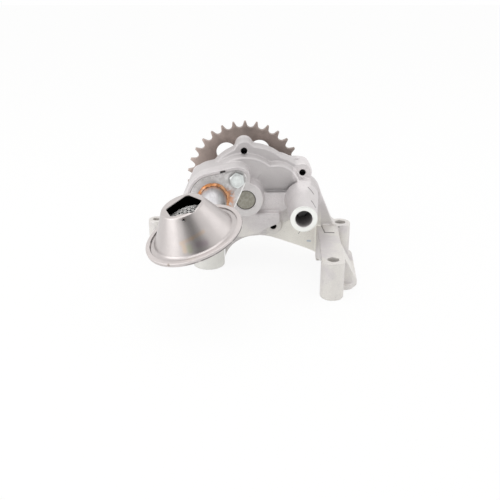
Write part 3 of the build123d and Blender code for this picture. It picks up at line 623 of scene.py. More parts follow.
def shaft_steel():
    """The shaft's faced end: dull grey-green, with clouds, turning rings and painted shade round its rim."""
    f = Finish("phosphated shaft steel")
    radius = f.away(SHAFT, "xz")
    rings = f.rings(radius, 2.6, 2.0)
    cloud = f.noise(2.6, 4.0, 0.62)
    shade = f.layered(
        f.mix(cloud.over(0.34, 0.68), (0.275, 0.265, 0.22), (0.415, 0.40, 0.345)),
        (rings.over(0.45, 0.65) * 0.22, (0.42, 0.41, 0.37)),
        # Painted shade round the rim of the shaft's end
        (radius.over(6.7, 7.3) * 0.5, (0.17, 0.16, 0.14)),
    )
    height = cloud * 0.10 + rings * 0.02
    return f.cover(shade, metal=0.5, rough=0.42 + cloud * 0.16, height=height, bump=0.8)


def plain_steel(name, base, rough, size):
    """Ground or sintered steel of the pieces inside, with a fine grain of the given size."""
    f = Finish(name)
    grain = f.noise(size, 3.0, 0.65)
    cloud = f.noise(7.0, 2.0, 0.5)
    shade = f.mix(cloud.over(0.35, 0.65), tone(base, 0.86), tone(base, 1.1))
    shade = f.mix(grain.over(0.42, 0.64) * 0.3, shade, tone(base, 0.6))
    height = grain * 0.03 + cloud * 0.03
    return f.cover(shade, metal=0.85, rough=rough + grain * 0.14, height=height, bump=0.6)


def seal_rubber():
    f = Finish("seal rubber")
    grain = f.noise(0.5, 2.0, 0.5)
    shade = f.mix(grain.over(0.35, 0.65), (0.012, 0.012, 0.012), (0.035, 0.034, 0.033))
    return f.cover(shade, metal=0.0, rough=0.55 + grain * 0.2, height=grain * 0.03, bump=0.6)


def wire_steel():
    """Bright screen wire, faintly clouded."""
    f = Finish("strainer wire")
    cloud = f.noise(3.0, 2.0, 0.5)
    shade = f.mix(cloud.over(0.35, 0.65), (0.86, 0.85, 0.84), (0.97, 0.96, 0.95))
    return f.cover(shade, metal=0.35, rough=0.30 + cloud * 0.15, height=cloud * 0.03, bump=0.5)


# Mesh tools


def new_object(name, mesh):
    made = bpy.data.objects.new(name, mesh)
    bpy.context.scene.collection.objects.link(made)
    return made


def built(name, points, edges=(), faces=()):
    mesh = bpy.data.meshes.new(name)
    mesh.from_pydata(points, edges, faces)
    return new_object(name, mesh)


def plain_mesh(made):
    """Applies the object's modifiers to its mesh."""
    bpy.context.view_layer.update()
    seen = made.evaluated_get(bpy.context.evaluated_depsgraph_get())
    mesh = bpy.data.meshes.new_from_object(seen)
    made.modifiers.clear()
    old = made.data
    made.data = mesh
    if old.users == 0:
        bpy.data.meshes.remove(old)
    return made


def copy_of(node, name):
    """A welded copy of a CAD node, whose own mesh is loose triangles."""
    mesh = frame["nodes"][node].data.copy()
    mesh.name = name
    mesh.materials.clear()
    bm = bmesh.new()
    bm.from_mesh(mesh)
    bmesh.ops.remove_doubles(bm, verts=bm.verts, dist=WELD)
    bm.to_mesh(mesh)
    bm.free()
    for layer in list(mesh.attributes):
        if layer.name == "custom_normal":
            mesh.attributes.remove(layer)
    return new_object(name, mesh)


def values_of(items, name, width=1, kind=float):
    """One property of a mesh's items as an array, in rows where it has more than one number."""
    values = np.zeros(len(items) * width, kind)
    items.foreach_get(name, values)
    return values.reshape(-1, width) if width > 1 else values


def points_mm(mesh):
    return values_of(mesh.vertices, "co", 3) / MM


def put_points(mesh, co):
    mesh.vertices.foreach_set("co", (co * MM).ravel())
    mesh.update()


def relax(mesh, weight, passes):
    """Draws each point towards the middle of its neighbours, by half of its weight in each pass."""
    co = points_mm(mesh)
    a, b = values_of(mesh.edges, "vertices", 2, int).T
    n = len(co)
    count = np.maximum(np.bincount(a, minlength=n) + np.bincount(b, minlength=n), 1)
    pull = 0.5 * weight(co)
    for _ in range(passes):
        for axis in range(3):
            c = co[:, axis]
            mean = np.bincount(a, c[b], n) + np.bincount(b, c[a], n)
            co[:, axis] = c + pull * (mean / count - c)
    put_points(mesh, co)


def step(value, low, high):
    """0 below low and 1 above high, with a smooth step between."""
    t = np.clip((value - low) / (high - low), 0, 1)
    return t * t * (3 - 2 * t)


def fade(value, low, high):
    return 1 - step(value, low, high)


def shade_smooth(mesh, angle=32.0):
    mesh.polygons.foreach_set("use_smooth", np.ones(len(mesh.polygons), bool))
    mesh.set_sharp_from_angle(angle=math.radians(angle))


def place_piece(made, body, slot, *nodes):
    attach(made, body)
    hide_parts(*nodes)


def finish_piece(made, material, body, slot, *nodes):
    made.data.materials.clear()
    made.data.materials.append(material)
    made.data.polygons.foreach_set("material_index", np.zeros(len(made.data.polygons), int))
    place_piece(made, body, slot, *nodes)


def skinned(made, cell):
    """The object with a voxel skin in place of its surface."""
    remesh = made.modifiers.new("Skin", "REMESH")
    remesh.mode = "VOXEL"
    remesh.voxel_size = cell
    return plain_mesh(made)


# How strongly the voxels' own steps are smoothed away everywhere
VOXEL_SMOOTHING = 0.8


def casting(node, name, crisp, cell, passes, limit):
    """A casting's skin: the CAD node remeshed, its corners run together except where crisp says."""
    made = skinned(copy_of(node, name), cell)
    relax(made.data, lambda co: np.full(len(co), VOXEL_SMOOTHING), 2)
    relax(made.data, lambda co: 1 - crisp(co), passes)
    faces = len(made.data.polygons) * 2
    if faces > limit:
        thin = made.modifiers.new("Thin", "DECIMATE")
        thin.ratio = limit / faces
        plain_mesh(made)
    shade_smooth(made.data, 60)
    return made


def bevelled(made, width):
    bevel = made.modifiers.new("Broken edges", "BEVEL")
    bevel.width = width * MM
    bevel.segments = 2
    bevel.limit_method = "ANGLE"
    bevel.angle_limit = math.radians(30.0)
    plain_mesh(made)
    shade_smooth(made.data)
    return made


def edge_broken(node, name, width):
    """A machined or pressed piece: the CAD node with its sharp edges slightly broken."""
    made = copy_of(node, name)
    bm = bmesh.new()
    bm.from_mesh(made.data)
    bmesh.ops.dissolve_limit(bm, angle_limit=math.radians(1.0), verts=bm.verts, edges=bm.edges)
    bm.to_mesh(made.data)
    bm.free()
    return bevelled(made, width)


def mesh_of_rings(name, rings):
    """A closed surface through rings with equally many points in mm, from the lowest ring to the highest."""
    count = len(rings[0])
    points = [Vector(p) * MM for ring in rings for p in ring]
    faces = []
    for low in range(0, len(points) - count, count):
        for i in range(count):
            j = (i + 1) % count
            faces.append((low + i, low + j, low + count + j, low + count + i))
    faces.append(tuple(reversed(range(count))))
    faces.append(tuple(range(len(points) - count, len(points))))
    return built(name, points, faces=faces)


# Geometry trees


class Shape(Nodes):
    """A geometry tree with named inputs, which apply sets on an object before the tree first runs."""

    def __init__(self, name, **inputs):
        super().__init__(bpy.data.node_groups.new(name, "GeometryNodeTree"))
        face = self.tree.interface
        face.new_socket("Geometry", in_out="OUTPUT", socket_type="NodeSocketGeometry")
        kinds = {"Geometry": "Geometry", **inputs, "Material": "Material"}
        self.found = {}
        for key, kind in kinds.items():
            label = key.replace("_", " ")
            socket = face.new_socket(label, in_out="INPUT", socket_type="NodeSocket" + kind)
            self.found[key] = socket.identifier
        self.given = self.tree.nodes.new("NodeGroupInput")

    def input(self, label):
        return Value(self, self.given.outputs[label])

    def vector(self, x=0.0, y=0.0, z=0.0):
        return self.add("ShaderNodeCombineXYZ", {0: x, 1: y, 2: z})

    def index(self):
        return self.add("GeometryNodeInputIndex")

    def moved(self, geometry, place, turn=(0, 0, 0)):
        sockets = {0: geometry, "Translation": place, "Rotation": turn}
        return self.add("GeometryNodeTransform", sockets)

    def copies(self, points, geometry, turn):
        rotation = self.add("FunctionNodeEulerToRotation", {0: turn})
        sockets = {"Points": points, "Instance": geometry, "Rotation": rotation}
        return self.add("GeometryNodeInstanceOnPoints", sockets)

    def joined(self, *parts):
        return self.add("GeometryNodeJoinGeometry", {0: list(parts)})

    def welded(self, geometry):
        return self.add("GeometryNodeMergeByDistance", {0: geometry, "Distance": WELD})

    def ring(self, radius, sides=48):
        sockets = {"Resolution": sides, "Radius": radius}
        return self.add("GeometryNodeCurvePrimitiveCircle", sockets)

    def slab(self, outlines, low, high):
        """The closed solid between two heights whose outlines are these curves."""
        sheet = self.moved(self.add("GeometryNodeFillCurve", {0: outlines}), (0, 0, low))
        sockets = {0: sheet, "Offset Scale": high - low, "Individual": False}
        raised = self.add("GeometryNodeExtrudeMesh", sockets)
        below = self.add("GeometryNodeFlipFaces", {0: sheet})
        return self.welded(self.joined(raised, below))

    def end(self, geometry):
        solid = self.add("GeometryNodeRealizeInstances", {0: geometry})
        painted = self.add("GeometryNodeSetMaterial", {0: solid, "Material": self.input("Material")})
        self.tree.links.new(painted.socket, self.tree.nodes.new("NodeGroupOutput").inputs[0])

    def apply(self, made, **values):
        modifier = made.modifiers.new(self.tree.name, "NODES")
        modifier.node_group = self.tree
        for key, value in values.items():
            modifier[self.found[key]] = value
        return plain_mesh(made)


WIRE_SIDES = 5


def wire_shape():
    """Turns chains of edges into round wires."""
    shape = Shape("Round wires", Radius="Float")
    chains = shape.add("GeometryNodeMeshToCurve", {0: shape.input("Geometry")})
    section = shape.ring(shape.input("Radius"), WIRE_SIDES)
    wires = shape.add("GeometryNodeCurveToMesh", {0: chains, 1: section, "Fill Caps": True})
    shape.end(shape.add("GeometryNodeSetShadeSmooth", {0: wires}))
    return shape


def fastener_shape():
    """Sets one fastener on each point, turned about its own axis by the point's turn."""
    shape = Shape("Set fasteners", Fastener="Object", Facing="Float")
    one = shape.add("GeometryNodeObjectInfo", {"Object": shape.input("Fastener")}, out="Geometry")
    turn = shape.add("GeometryNodeInputNamedAttribute", {"Name": "turn"}, out="Attribute")
    way = shape.vector(shape.input("Facing"), turn)
    points = shape.add("GeometryNodeMeshToPoints", {0: shape.input("Geometry")})
    shape.end(shape.copies(points, one, way))
    return shape


# The sprocket's lightening holes: their number, radius, distance from the axis and first angle in degrees
LIGHT_N, LIGHT_R, LIGHT_PITCH_R, LIGHT_START = 6, 8.5, 27.8, 64.3

# The sprocket's plate, hub and bore, and the slope of its teeth's sides from this radius outwards
PLATE_W, HUB_R, HUB_W, HUB_OVERLAP, HUB_SIDES, BORE_R = 5.0, 14.0, 3.0, 0.5, 96, 6.52
SLOPE_FROM_R, TOOTH_SLOPE = 45.6, 0.275

# Between two teeth: the roller's seat, its reach each way in degrees and in steps, and the width of a tip
ROLLER_R, SEAT_ANGLE, SEAT_STEPS, TIP_W = 3.3, 62.0, 4, 1.3


def sprocket_shape():
    """Repeats the tooth gap it is given round the wheel, and makes the wheel and its hub solid."""
    shape = Shape("Chain sprocket", Teeth="Int", Holes="Int", Hole_Radius="Float")
    teeth = shape.input("Teeth")
    spots = shape.add("GeometryNodePoints", {"Count": teeth})
    gaps = shape.copies(spots, shape.input("Geometry"), shape.vector(0, 0, shape.index() * math.tau / teeth))
    gaps = shape.welded(shape.add("GeometryNodeRealizeInstances", {0: gaps}))
    outline = shape.add("GeometryNodeMeshToCurve", {0: gaps})
    start = math.radians(LIGHT_START)
    angle = shape.index() * math.tau / shape.input("Holes") + start
    at = shape.vector(angle.math("COSINE") * LIGHT_PITCH_R * MM, angle.math("SINE") * LIGHT_PITCH_R * MM)
    spots = shape.add("GeometryNodePoints", {"Count": shape.input("Holes"), "Position": at})
    holes = shape.copies(spots, shape.ring(shape.input("Hole Radius")), (0, 0, 0))
    holes = shape.add("GeometryNodeRealizeInstances", {0: holes})
    bore = shape.ring(BORE_R * MM)
    half = PLATE_W / 2 * MM
    wheel = shape.slab(shape.joined(outline, holes, bore), -half, half)
    x, y, z = shape.split(shape.add("GeometryNodeInputPosition"))
    past = ((x * x + y * y).math("SQRT") - SLOPE_FROM_R * MM).math("MAXIMUM", 0.0)
    inward = shape.vector(0, 0, z / half * past * -TOOTH_SLOPE)
    wheel = shape.add("GeometryNodeSetPosition", {0: wheel, "Offset": inward})
    hub_outlines = shape.joined(shape.ring(HUB_R * MM, HUB_SIDES), bore)
    hub = shape.slab(hub_outlines, -half - HUB_W * MM, -half + HUB_OVERLAP * MM)
    place = Vector((SHAFT.x, CHAIN_LINE, SHAFT.z)) * MM
    shape.end(shape.moved(shape.joined(wheel, hub), place, (math.pi / 2, 0, 0)))
    return shape


def tooth_gap(teeth, pitch, tip_r):
    """One gap between teeth as a chain of edges about the wheel's centre, up to the next gap's start."""
    pitch_r = pitch / 2 / math.sin(math.pi / teeth)
    half = math.pi / teeth - TIP_W / 2 / tip_r
    turn = math.pi / teeth + math.pi / 2
    chain = [(tip_r * math.cos(half), -tip_r * math.sin(half))]
    for i in range(-SEAT_STEPS, SEAT_STEPS + 1):
        seat = math.radians(SEAT_ANGLE) * i / SEAT_STEPS
        chain.append((pitch_r - ROLLER_R * math.cos(seat), ROLLER_R * math.sin(seat)))
    chain.append((tip_r * math.cos(half), tip_r * math.sin(half)))
    after = math.tau / teeth - half
    chain.append((tip_r * math.cos(after), tip_r * math.sin(after)))
    c, s = math.cos(turn), math.sin(turn)
    points = [Vector((x * c - y * s, x * s + y * c, 0)) * MM for x, y in chain]
    return built("sprocket_wheel", points, [(i, i + 1) for i in range(len(points) - 1)])


# Pieces


class PumpOperator:
    bl_options = {"REGISTER", "UNDO"}


def from_line(co, x, z):
    """Distance of each point from a line along Y."""
    return np.hypot(co[:, 0] - x, co[:, 2] - z)


def foot_top(co, foot, radius):
    """1 at the machined ring round the top of a foot's bolt hole, and 0 a millimetre outside it."""
    away = np.hypot(co[:, 0] - foot.x, co[:, 1] - foot.y)
    return fade(away, radius, radius + 1) * step(co[:, 2], 26, 29)


def housing_crisp(co):
    """Where the housing is machined or has a tight edge, from 0 to 1."""
    x, y, z = co.T
    barrel = from_line(co, BARREL_AXIS.x, BARREL_AXIS.z)
    ledge = step(x, 90, 93) * fade(x, 108, 111) * step(y, -16, -13) * fade(y, -4, -1) * step(z, 25, 28)
    seat = fade(y, SEAT_FACE + 0.8, SEAT_FACE + 2.5) * fade(from_line(co, SUCTION.x, SUCTION.z), 36, 38)
    parts = [
        # The barrel's end and its bore
        fade(y, BARREL_END + 1.5, BARREL_END + 4) * fade(barrel, 11.5, 13),
        fade(barrel, 7.6, 8.6) * fade(y, -4, 2),
        # The undersides of the feet, and the face on the cover
        fade(z, 0.5, 2.0),
        step(y, 18.5, 20.3),
        # Round the rear foot
        ledge * 0.9,
        step(x, 94, 97) * fade(z, 23, 27) * 0.7,
        # The seats of the feet's bolts and of the suction flange
        foot_top(co, NEAR_FOOT, 5.2),
        foot_top(co, REAR_FOOT, 5.2),
        foot_top(co, LEFT_FOOT, 4.2),
        seat * 0.9,
    ]
    for at, height, _ in COVER_SCREWS:
        parts.append(fade(from_line(co, at, height), 3.4, 4.6) * (y < 20))
    return np.clip(np.max(parts, axis=0), 0, 1)


# The radius of the shaft bore's mouth, and the most triangles that each casting's skin may keep
BORE_MOUTH_R = 7.85
HOUSING_TRIANGLES, COVER_TRIANGLES = 185_000, 90_000


def open_shaft_bore(mesh):
    """Widens the shaft's bore at the front a little, as its chamfer does."""
    co = points_mm(mesh)
    away = from_line(co, SHAFT.x, SHAFT.z)
    bore = (away > 6.5) & (away < 8.4) & (co[:, 1] < 2) & (co[:, 1] > SEAT_FACE - 2)
    grow = np.where(bore, BORE_MOUTH_R / np.maximum(away, 1e-6), 1.0)
    co[:, 0] = SHAFT.x + (co[:, 0] - SHAFT.x) * grow
    co[:, 2] = SHAFT.z + (co[:, 2] - SHAFT.z) * grow
    put_points(mesh, co)


def cover_crisp(co):
    """Where the cover is machined: the face on the housing."""
    return fade(co[:, 1], 21.2, 22.2)


class PUMP_OT_castings(PumpOperator, Operator):
    """Gives the housing and the cover a cast skin with soft corners"""

    bl_idname = "pump.castings"
    bl_label = "Castings"

    def execute(self, context):
        sizes = context.scene.pump_sizes
        grain, passes = sizes.cast_grain, sizes.cast_softness
        housing = casting(
            "pump_housing", "housing_casting", housing_crisp, grain, passes, HOUSING_TRIANGLES
        )
        open_shaft_bore(housing.data)
        metal = cast_metal("cast housing aluminium", housing_cuts, housing_hole_shade)
        finish_piece(housing, metal, "housing", "cast_housing", "pump_housing")
        cover = casting("rear_cover", "cover_casting", cover_crisp, grain * 1.2, passes, COVER_TRIANGLES)
        metal = cast_metal("cast cover aluminium", nowhere, nowhere)
        finish_piece(cover, metal, "housing", "cast_cover", "rear_cover")
        return {"FINISHED"}


class PUMP_OT_sprocket(PumpOperator, Operator):
    """Makes the chain sprocket from one gap between its teeth"""

    bl_idname = "pump.sprocket"
    bl_label = "Chain sprocket"

    def execute(self, context):
        sizes = context.scene.pump_sizes
        wheel = tooth_gap(sizes.teeth, sizes.chain_pitch / MM, sizes.tip_radius / MM)
        steel = browned_steel()
        sprocket_shape().apply(
            wheel, Teeth=sizes.teeth, Holes=LIGHT_N, Hole_Radius=LIGHT_R * MM, Material=steel
        )
        bevelled(wheel, width=0.2)
        finish_piece(wheel, steel, "drive", "sprocket_steel", "chain_sprocket")
        return {"FINISHED"}


class PUMP_OT_strainer(PumpOperator, Operator):
    """Finishes the strainer's bell and its folded pan"""

    bl_idname = "pump.strainer"
    bl_label = "Strainer"

    def execute(self, context):
        bell = edge_broken("strainer_bell", "strainer_bell_sheet", width=0.18)
        true_cone(bell.data)
        steel = sheet_steel("spun bell steel", brightness=1.0, rough=0.27, details=bell_details)
        finish_piece(bell, steel, "housing", "strainer_sheet", "strainer_bell")
        pan = edge_broken("strainer_pan", "strainer_pan_sheet", width=0.18)
        steel = sheet_steel("spun pan steel", brightness=1.12, rough=0.42, details=pan_details)
        finish_piece(pan, steel, "housing", "strainer_sheet", "strainer_pan")
        return {"FINISHED"}


# Faces that stand within this many degrees of the cone are the bell's wall
WALL_ANGLE = 4.0


def true_cone(mesh):
    """Gives the bell's wall the exact normals of its cone, which its inlet and small hole would disturb."""
    corner = values_of(mesh.loops, "vertex_index", kind=int)
    shading = values_of(mesh.corner_normals, "vector", 3)
    sides = values_of(mesh.polygons, "loop_total", kind=int)
    flat = np.repeat(values_of(mesh.polygons, "normal", 3), sides, axis=0)
    up = np.array(RIM_UP)
    away = points_mm(mesh)[corner] - np.array(RIM_CENTRE)
    away -= np.outer(away @ up, up)
    exact = away / np.linalg.norm(away, axis=1)[:, None] + up * BELL_TAPER
    exact /= np.linalg.norm(exact, axis=1)[:, None]
    along = (flat * exact).sum(axis=1)
    wall = np.abs(along) > math.cos(math.radians(WALL_ANGLE))
    shading[wall] = exact[wall] * np.sign(along[wall])[:, None]
    mesh.normals_split_custom_set(shading)


# The braze: the cell of its skin, its smoothing passes, and the height and the number to the mm of its lumps
BEAD_CELL, BEAD_PASSES = 0.3 * MM, 6
LUMP, COARSE_LUMPS, FINE_LUMPS = 0.35, 0.33, 0.9


def lumpy_bead(node, name):
    """The braze round a joint, swollen unevenly."""
    bead = skinned(copy_of(node, name), BEAD_CELL)
    relax(bead.data, lambda co: np.ones(len(co)), BEAD_PASSES)
    normals = values_of(bead.data.vertices, "normal", 3)
    co = points_mm(bead.data)
    rises = [
        noise.noise(Vector(p) * COARSE_LUMPS) + 0.4 * noise.noise(Vector(p) * FINE_LUMPS) for p in co
    ]
    put_points(bead.data, co + normals * (np.array(rises) * LUMP)[:, None])
    shade_smooth(bead.data, 60)
    return bead


def fill_pocket(mesh, width):
    """Moves the plate's outer side out, so that no more than a hair line shows round it."""
    co = points_mm(mesh)
    away = from_line(co, SUCTION.x, SUCTION.z)
    out = values_of(mesh.vertices, "normal", 3) * [1, 0, 1]
    length = np.hypot(out[:, 0], out[:, 2])
    edge = (away > 12.5) & (length > 0.3)
    for x, z, _ in FLANGE_BOLTS:
        edge &= from_line(co, x, z) > 5
    put_points(mesh, co + out / np.maximum(length, 1e-6)[:, None] * (edge * width)[:, None])


class PUMP_OT_suction(PumpOperator, Operator):
    """Finishes the flange plate, the tube and the two brazed joints"""

    bl_idname = "pump.suction"
    bl_label = "Suction tube"

    def execute(self, context):
        plate = edge_broken("suction_flange", "suction_flange_plate", width=0.55)
        fill_pocket(plate.data, width=0.25)
        finish_piece(plate, plate_steel(), "housing", "flange_plate", "suction_flange")
        tube = edge_broken("suction_tube", "suction_tube_drawn", width=0.1)
        finish_piece(tube, tube_steel(), "housing", "suction_tube", "suction_tube")
        copper = copper_braze()
        for node, name in (("flange_braze", "flange_braze_bead"), ("pan_braze", "pan_braze_bead")):
            finish_piece(lumpy_bead(node, name), copper, "housing", "braze_metal", node)
        return {"FINISHED"}


# A fastener's points in each ring, its rings in each turn of thread, and the slope of its head's chamfer
SIDES, THREAD_STEPS, CHAMFER = 48, 4, 0.577


def ring_of(radius, height):
    """One ring of points. Each of radius and height is a number or a function of the angle."""
    found = []
    for i in range(SIDES):
        a = math.tau * i / SIDES
        r = radius(a) if callable(radius) else radius
        z = height(a) if callable(height) else height
        found.append((r * math.cos(a), r * math.sin(a), z))
    return found


def hex_bolt(name, flats, head, shank_r, length, lead, flange_r=0.0, flange_t=0.25):
    """A threaded hex bolt with a dished head, seated at height 0, and a flange where flange_r is given."""
    inner = flats / 2

    def hexagon(a):
        return inner / math.cos((a + math.pi / 6) % (math.pi / 3) - math.pi / 6)

    def crown(a):
        return head - max(0.0, hexagon(a) - inner * 0.96) * CHAMFER

    # The point, the thread and the plain neck
    profile = [(shank_r * 0.72, -length), (shank_r * 0.88, -length + lead * 0.5)]
    turns = int((length - 2.5) / lead)
    for k in range(3, turns * THREAD_STEPS):
        def groove(a, k=k):
            wave = abs((k / THREAD_STEPS + a / math.tau) % 1 * 2 - 1)
            return shank_r - 0.02 - 0.5 * lead * wave
        profile.append((groove, -length + k * lead / THREAD_STEPS))
    profile += [(shank_r - 0.3, -1.6), (shank_r - 0.02, -1.1), (shank_r - 0.02, 0)]

    # The flange, or the round face under a plain head
    wide = flange_r or inner * 0.94
    profile += [(wide - 0.12, 0), (wide, 0.12), (wide, flange_t * 0.55)]
    if flange_r:
        profile += [(lambda a: hexagon(a) + 0.35, flange_t), (hexagon, flange_t + 0.3)]
    else:
        profile += [(wide, flange_t), (lambda a: hexagon(a) - 0.12, flange_t), (hexagon, flange_t + 0.15)]

    # The head's flats, its chamfer and the dish in its top
    dish = 0.4 if flange_r else 0.12
    profile += [(hexagon, lambda a: crown(a) - 0.1), (lambda a: hexagon(a) - 0.06, crown)]
    profile += [(inner * 0.96 - 0.1, head), (inner * 0.74, head)]
    profile += [(inner * 0.62, head - dish), (inner * 0.2, head - dish - 0.05)]
    made = mesh_of_rings(name, [ring_of(radius, height) for radius, height in profile])
    shade_smooth(made.data)
    return made


def set_fasteners(name, places, facing, one, material):
    """A piece made of copies of one, at (x, y, z, turn in degrees) places, heads towards +Y or -Y."""
    made = built(name, [Vector(p[:3]) * MM for p in places])
    turn = made.data.attributes.new("turn", "FLOAT", "POINT")
    turn.data.foreach_set("value", [math.radians(p[3]) for p in places])
    fastener_shape().apply(made, Fastener=one, Facing=facing * -math.pi / 2, Material=material)
    old = one.data
    bpy.data.objects.remove(one)
    bpy.data.meshes.remove(old)
    return made


class PUMP_OT_fasteners(PumpOperator, Operator):
    """Makes the screws and bolts and sets them in their holes, and finishes the washer"""

    bl_idname = "pump.fasteners"
    bl_label = "Fasteners"

    def execute(self, context):
        sizes = context.scene.pump_sizes
        zinc = zinc_plate()
        flats = sizes.screw_flats / MM
        one = hex_bolt(
            "cover screw", flats, head=3.8, shank_r=3.0, length=17.0, lead=1.0, flange_r=5.8, flange_t=1.27
        )
        places = [(x, COVER_BACK, z, turn) for x, z, turn in COVER_SCREWS]
        screws = set_fasteners("cover_screws_plated", places, 1, one, zinc)
        place_piece(screws, "housing", "zinc_plate", "cover_screws")
        flats = sizes.bolt_flats / MM
        one = hex_bolt("flange bolt", flats, head=BOLT_HEAD, shank_r=3.0, length=16.0, lead=1.0)
        places = [(x, PLATE_FACE, z, turn) for x, z, turn in FLANGE_BOLTS]
        bolts = set_fasteners("suction_bolts_plated", places, -1, one, zinc)
        place_piece(bolts, "housing", "zinc_plate", "suction_bolts")
        one = hex_bolt(
            "sprocket bolt",
            flats=13.0,
            head=6.5,
            shank_r=4.0,
            length=22.0,
            lead=1.25,
            flange_r=9.0,
            flange_t=1.6,
        )
        places = [(SHAFT.x, SPROCKET_BOLT_SEAT, SHAFT.z, SPROCKET_BOLT_TURN)]
        bolt = set_fasteners("sprocket_bolt_plated", places, 1, one, zinc)
        place_piece(bolt, "drive", "zinc_plate", "sprocket_bolt")
        washer = edge_broken("sprocket_washer", "sprocket_washer_plated", width=0.2)
        finish_piece(washer, zinc, "drive", "zinc_plate", "sprocket_washer")
        return {"FINISHED"}


def relief_coil(material):
    """The relief spring as a piece of its own."""
    low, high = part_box("relief_spring")
    length = high[1] - low[1]
    travel = next(joint["range_m"][1] for joint in frame["joints"] if joint["name"] == "relief_slide")
    coil = copy_of("relief_spring", "relief_spring_coil")
    shade_smooth(coil.data, 40)
    finish_piece(coil, material, "housing", "spring_steel", "relief_spring")
    1 - travel / length
    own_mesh(coil)


class PUMP_OT_inner_parts(PumpOperator, Operator):
    """Finishes the shaft, the rotors, the valve and the seals"""

    bl_idname = "pump.inner_parts"
    bl_label = "Inner parts"

    def execute(self, context):
        shaft = edge_broken("drive_shaft", "drive_shaft_turned", width=0.2)
        finish_piece(shaft, shaft_steel(), "drive", "shaft_steel", "drive_shaft")
        sintered = plain_steel("sintered rotor steel", (0.40, 0.40, 0.41), rough=0.34, size=0.4)
        ground = plain_steel("ground key steel", (0.55, 0.55, 0.56), rough=0.26, size=0.7)
        valve = plain_steel("oily valve steel", (0.52, 0.52, 0.52), rough=0.45, size=0.6)
        spring = plain_steel("oily spring wire", (0.16, 0.16, 0.165), rough=0.40, size=0.5)
        rubber = seal_rubber()
        for node, metal in {
            "inner_rotor": sintered, "outer_rotor": sintered, "rotor_key": ground, "cover_dowels": ground,
            "relief_plunger": valve, "relief_spring_seat": valve, "relief_circlip": spring,
            "suction_o_ring": rubber, "outlet_o_ring": rubber,
        }.items():
            for place in frame["nodes"][node].material_slots:
                place.material = metal
        relief_coil(spring)
        return {"FINISHED"}


class PUMP_OT_screen(PumpOperator, Operator):
    """Weaves the strainer's domed wire screen"""

    bl_idname = "pump.screen"
    bl_label = "Wire screen"

    def execute(self, context):
        sizes = context.scene.pump_sizes
        lines = woven_lines(sizes.wire_pitch / MM, sizes.wire_radius / MM)
        wire_shape().apply(lines, Radius=sizes.wire_radius, Material=wire_steel())
        place_piece(lines, "housing", "strainer_mesh", "strainer_screen")
        return {"FINISHED"}


# The direction of one set of wires, the margin round them, and how far they wave, in wire radii
WIRE_RUN = Vector((0.956, 0.0, 0.294))
SCREEN_MARGIN, WIRE_WAVE = 0.3, 0.9


def woven_lines(pitch, wire):
    """Warp and weft as open chains of edges on the dome, each passing over and under the other."""
    ball = (SCREEN_R**2 + SCREEN_H**2) / (2 * SCREEN_H)
    across = (WIRE_RUN - RIM_UP * WIRE_RUN.dot(RIM_UP)).normalized()
    along = RIM_UP.cross(across).normalized()
    reach = int(SCREEN_R / pitch)
    points, edges = [], []
    for turned in (0, 1):
        for i in range(-reach, reach + 1):
            last = None
            for j in range(-reach * 2, reach * 2 + 1):
                u, v = j * pitch / 2, i * pitch
                if turned:
                    u, v = v, u
                if u * u + v * v > (SCREEN_R - SCREEN_MARGIN) ** 2:
                    continue
                lift = wire * WIRE_WAVE * math.cos(math.pi * (j / 2 + i + turned))
                height = math.sqrt(ball**2 - u * u - v * v) + SCREEN_H - ball - wire * 2 + lift
                points.append((RIM_CENTRE + across * u + along * v + RIM_UP * height) * MM)
                if last is not None:
                    edges.append((last, len(points) - 1))
                last = len(points) - 1
    return built("strainer_screen_wires", points, edges)


# Stage


# The camera and the lamps, in metres, degrees and, for the lens and the sensor, millimetres
CAMERA_PLACE, CAMERA_TURN = (0.02703, -0.52947, 0.2394), (66.77, 0.0, -0.75)
CAMERA_LENS, CAMERA_SENSOR, CAMERA_NEAR = 50.26, 36.0, 0.01
KEY_PLACE, LEFT_PLACE, RIGHT_PLACE = (-0.15, -0.25, 0.95), (-0.80, -0.40, 0.30), (0.90, 0.05, 0.50)
KEY_WIDTH, SIDE_WIDTH = 0.9, 0.7
PUMP_MIDDLE = Vector((0.04, -0.03, 0.05))
FLOOR_HALF, FLOOR_TOP = 3.0, -0.0003


class PUMP_OT_stage(PumpOperator, Operator):
    """Sets the floor, the lamps, the white room and the camera"""

    bl_idname = "pump.stage"
    bl_label = "Stage"

    def execute(self, context):
        studio = context.scene.pump_studio
        make_floor()
        make_room(studio.surround, studio.dark_end)
        lamp("Key lamp", KEY_PLACE, KEY_WIDTH, studio.key_power)
        lamp("Left lamp", LEFT_PLACE, SIDE_WIDTH, studio.left_power)
        lamp("Right lamp", RIGHT_PLACE, SIDE_WIDTH, studio.right_power)
        camera = bpy.data.objects.new("Camera", bpy.data.cameras.new("Camera"))
        context.scene.collection.objects.link(camera)
        camera.location = CAMERA_PLACE
        camera.rotation_euler = [math.radians(turn) for turn in CAMERA_TURN]
        camera.data.lens = CAMERA_LENS
        camera.data.sensor_width = CAMERA_SENSOR
        camera.data.clip_start = CAMERA_NEAR
        context.scene.camera = camera
        context.scene.view_settings.view_transform = "Standard"
        return {"FINISHED"}


def lamp(name, place, size, power):
    """A square lamp that looks at the pump's middle."""
    data = bpy.data.lights.new(name, "AREA")
    data.size = size
    data.energy = power
    made = bpy.data.objects.new(name, data)
    made.location = place
    made.rotation_euler = (PUMP_MIDDLE - Vector(place)).to_track_quat("-Z", "Y").to_euler()
    bpy.context.scene.collection.objects.link(made)


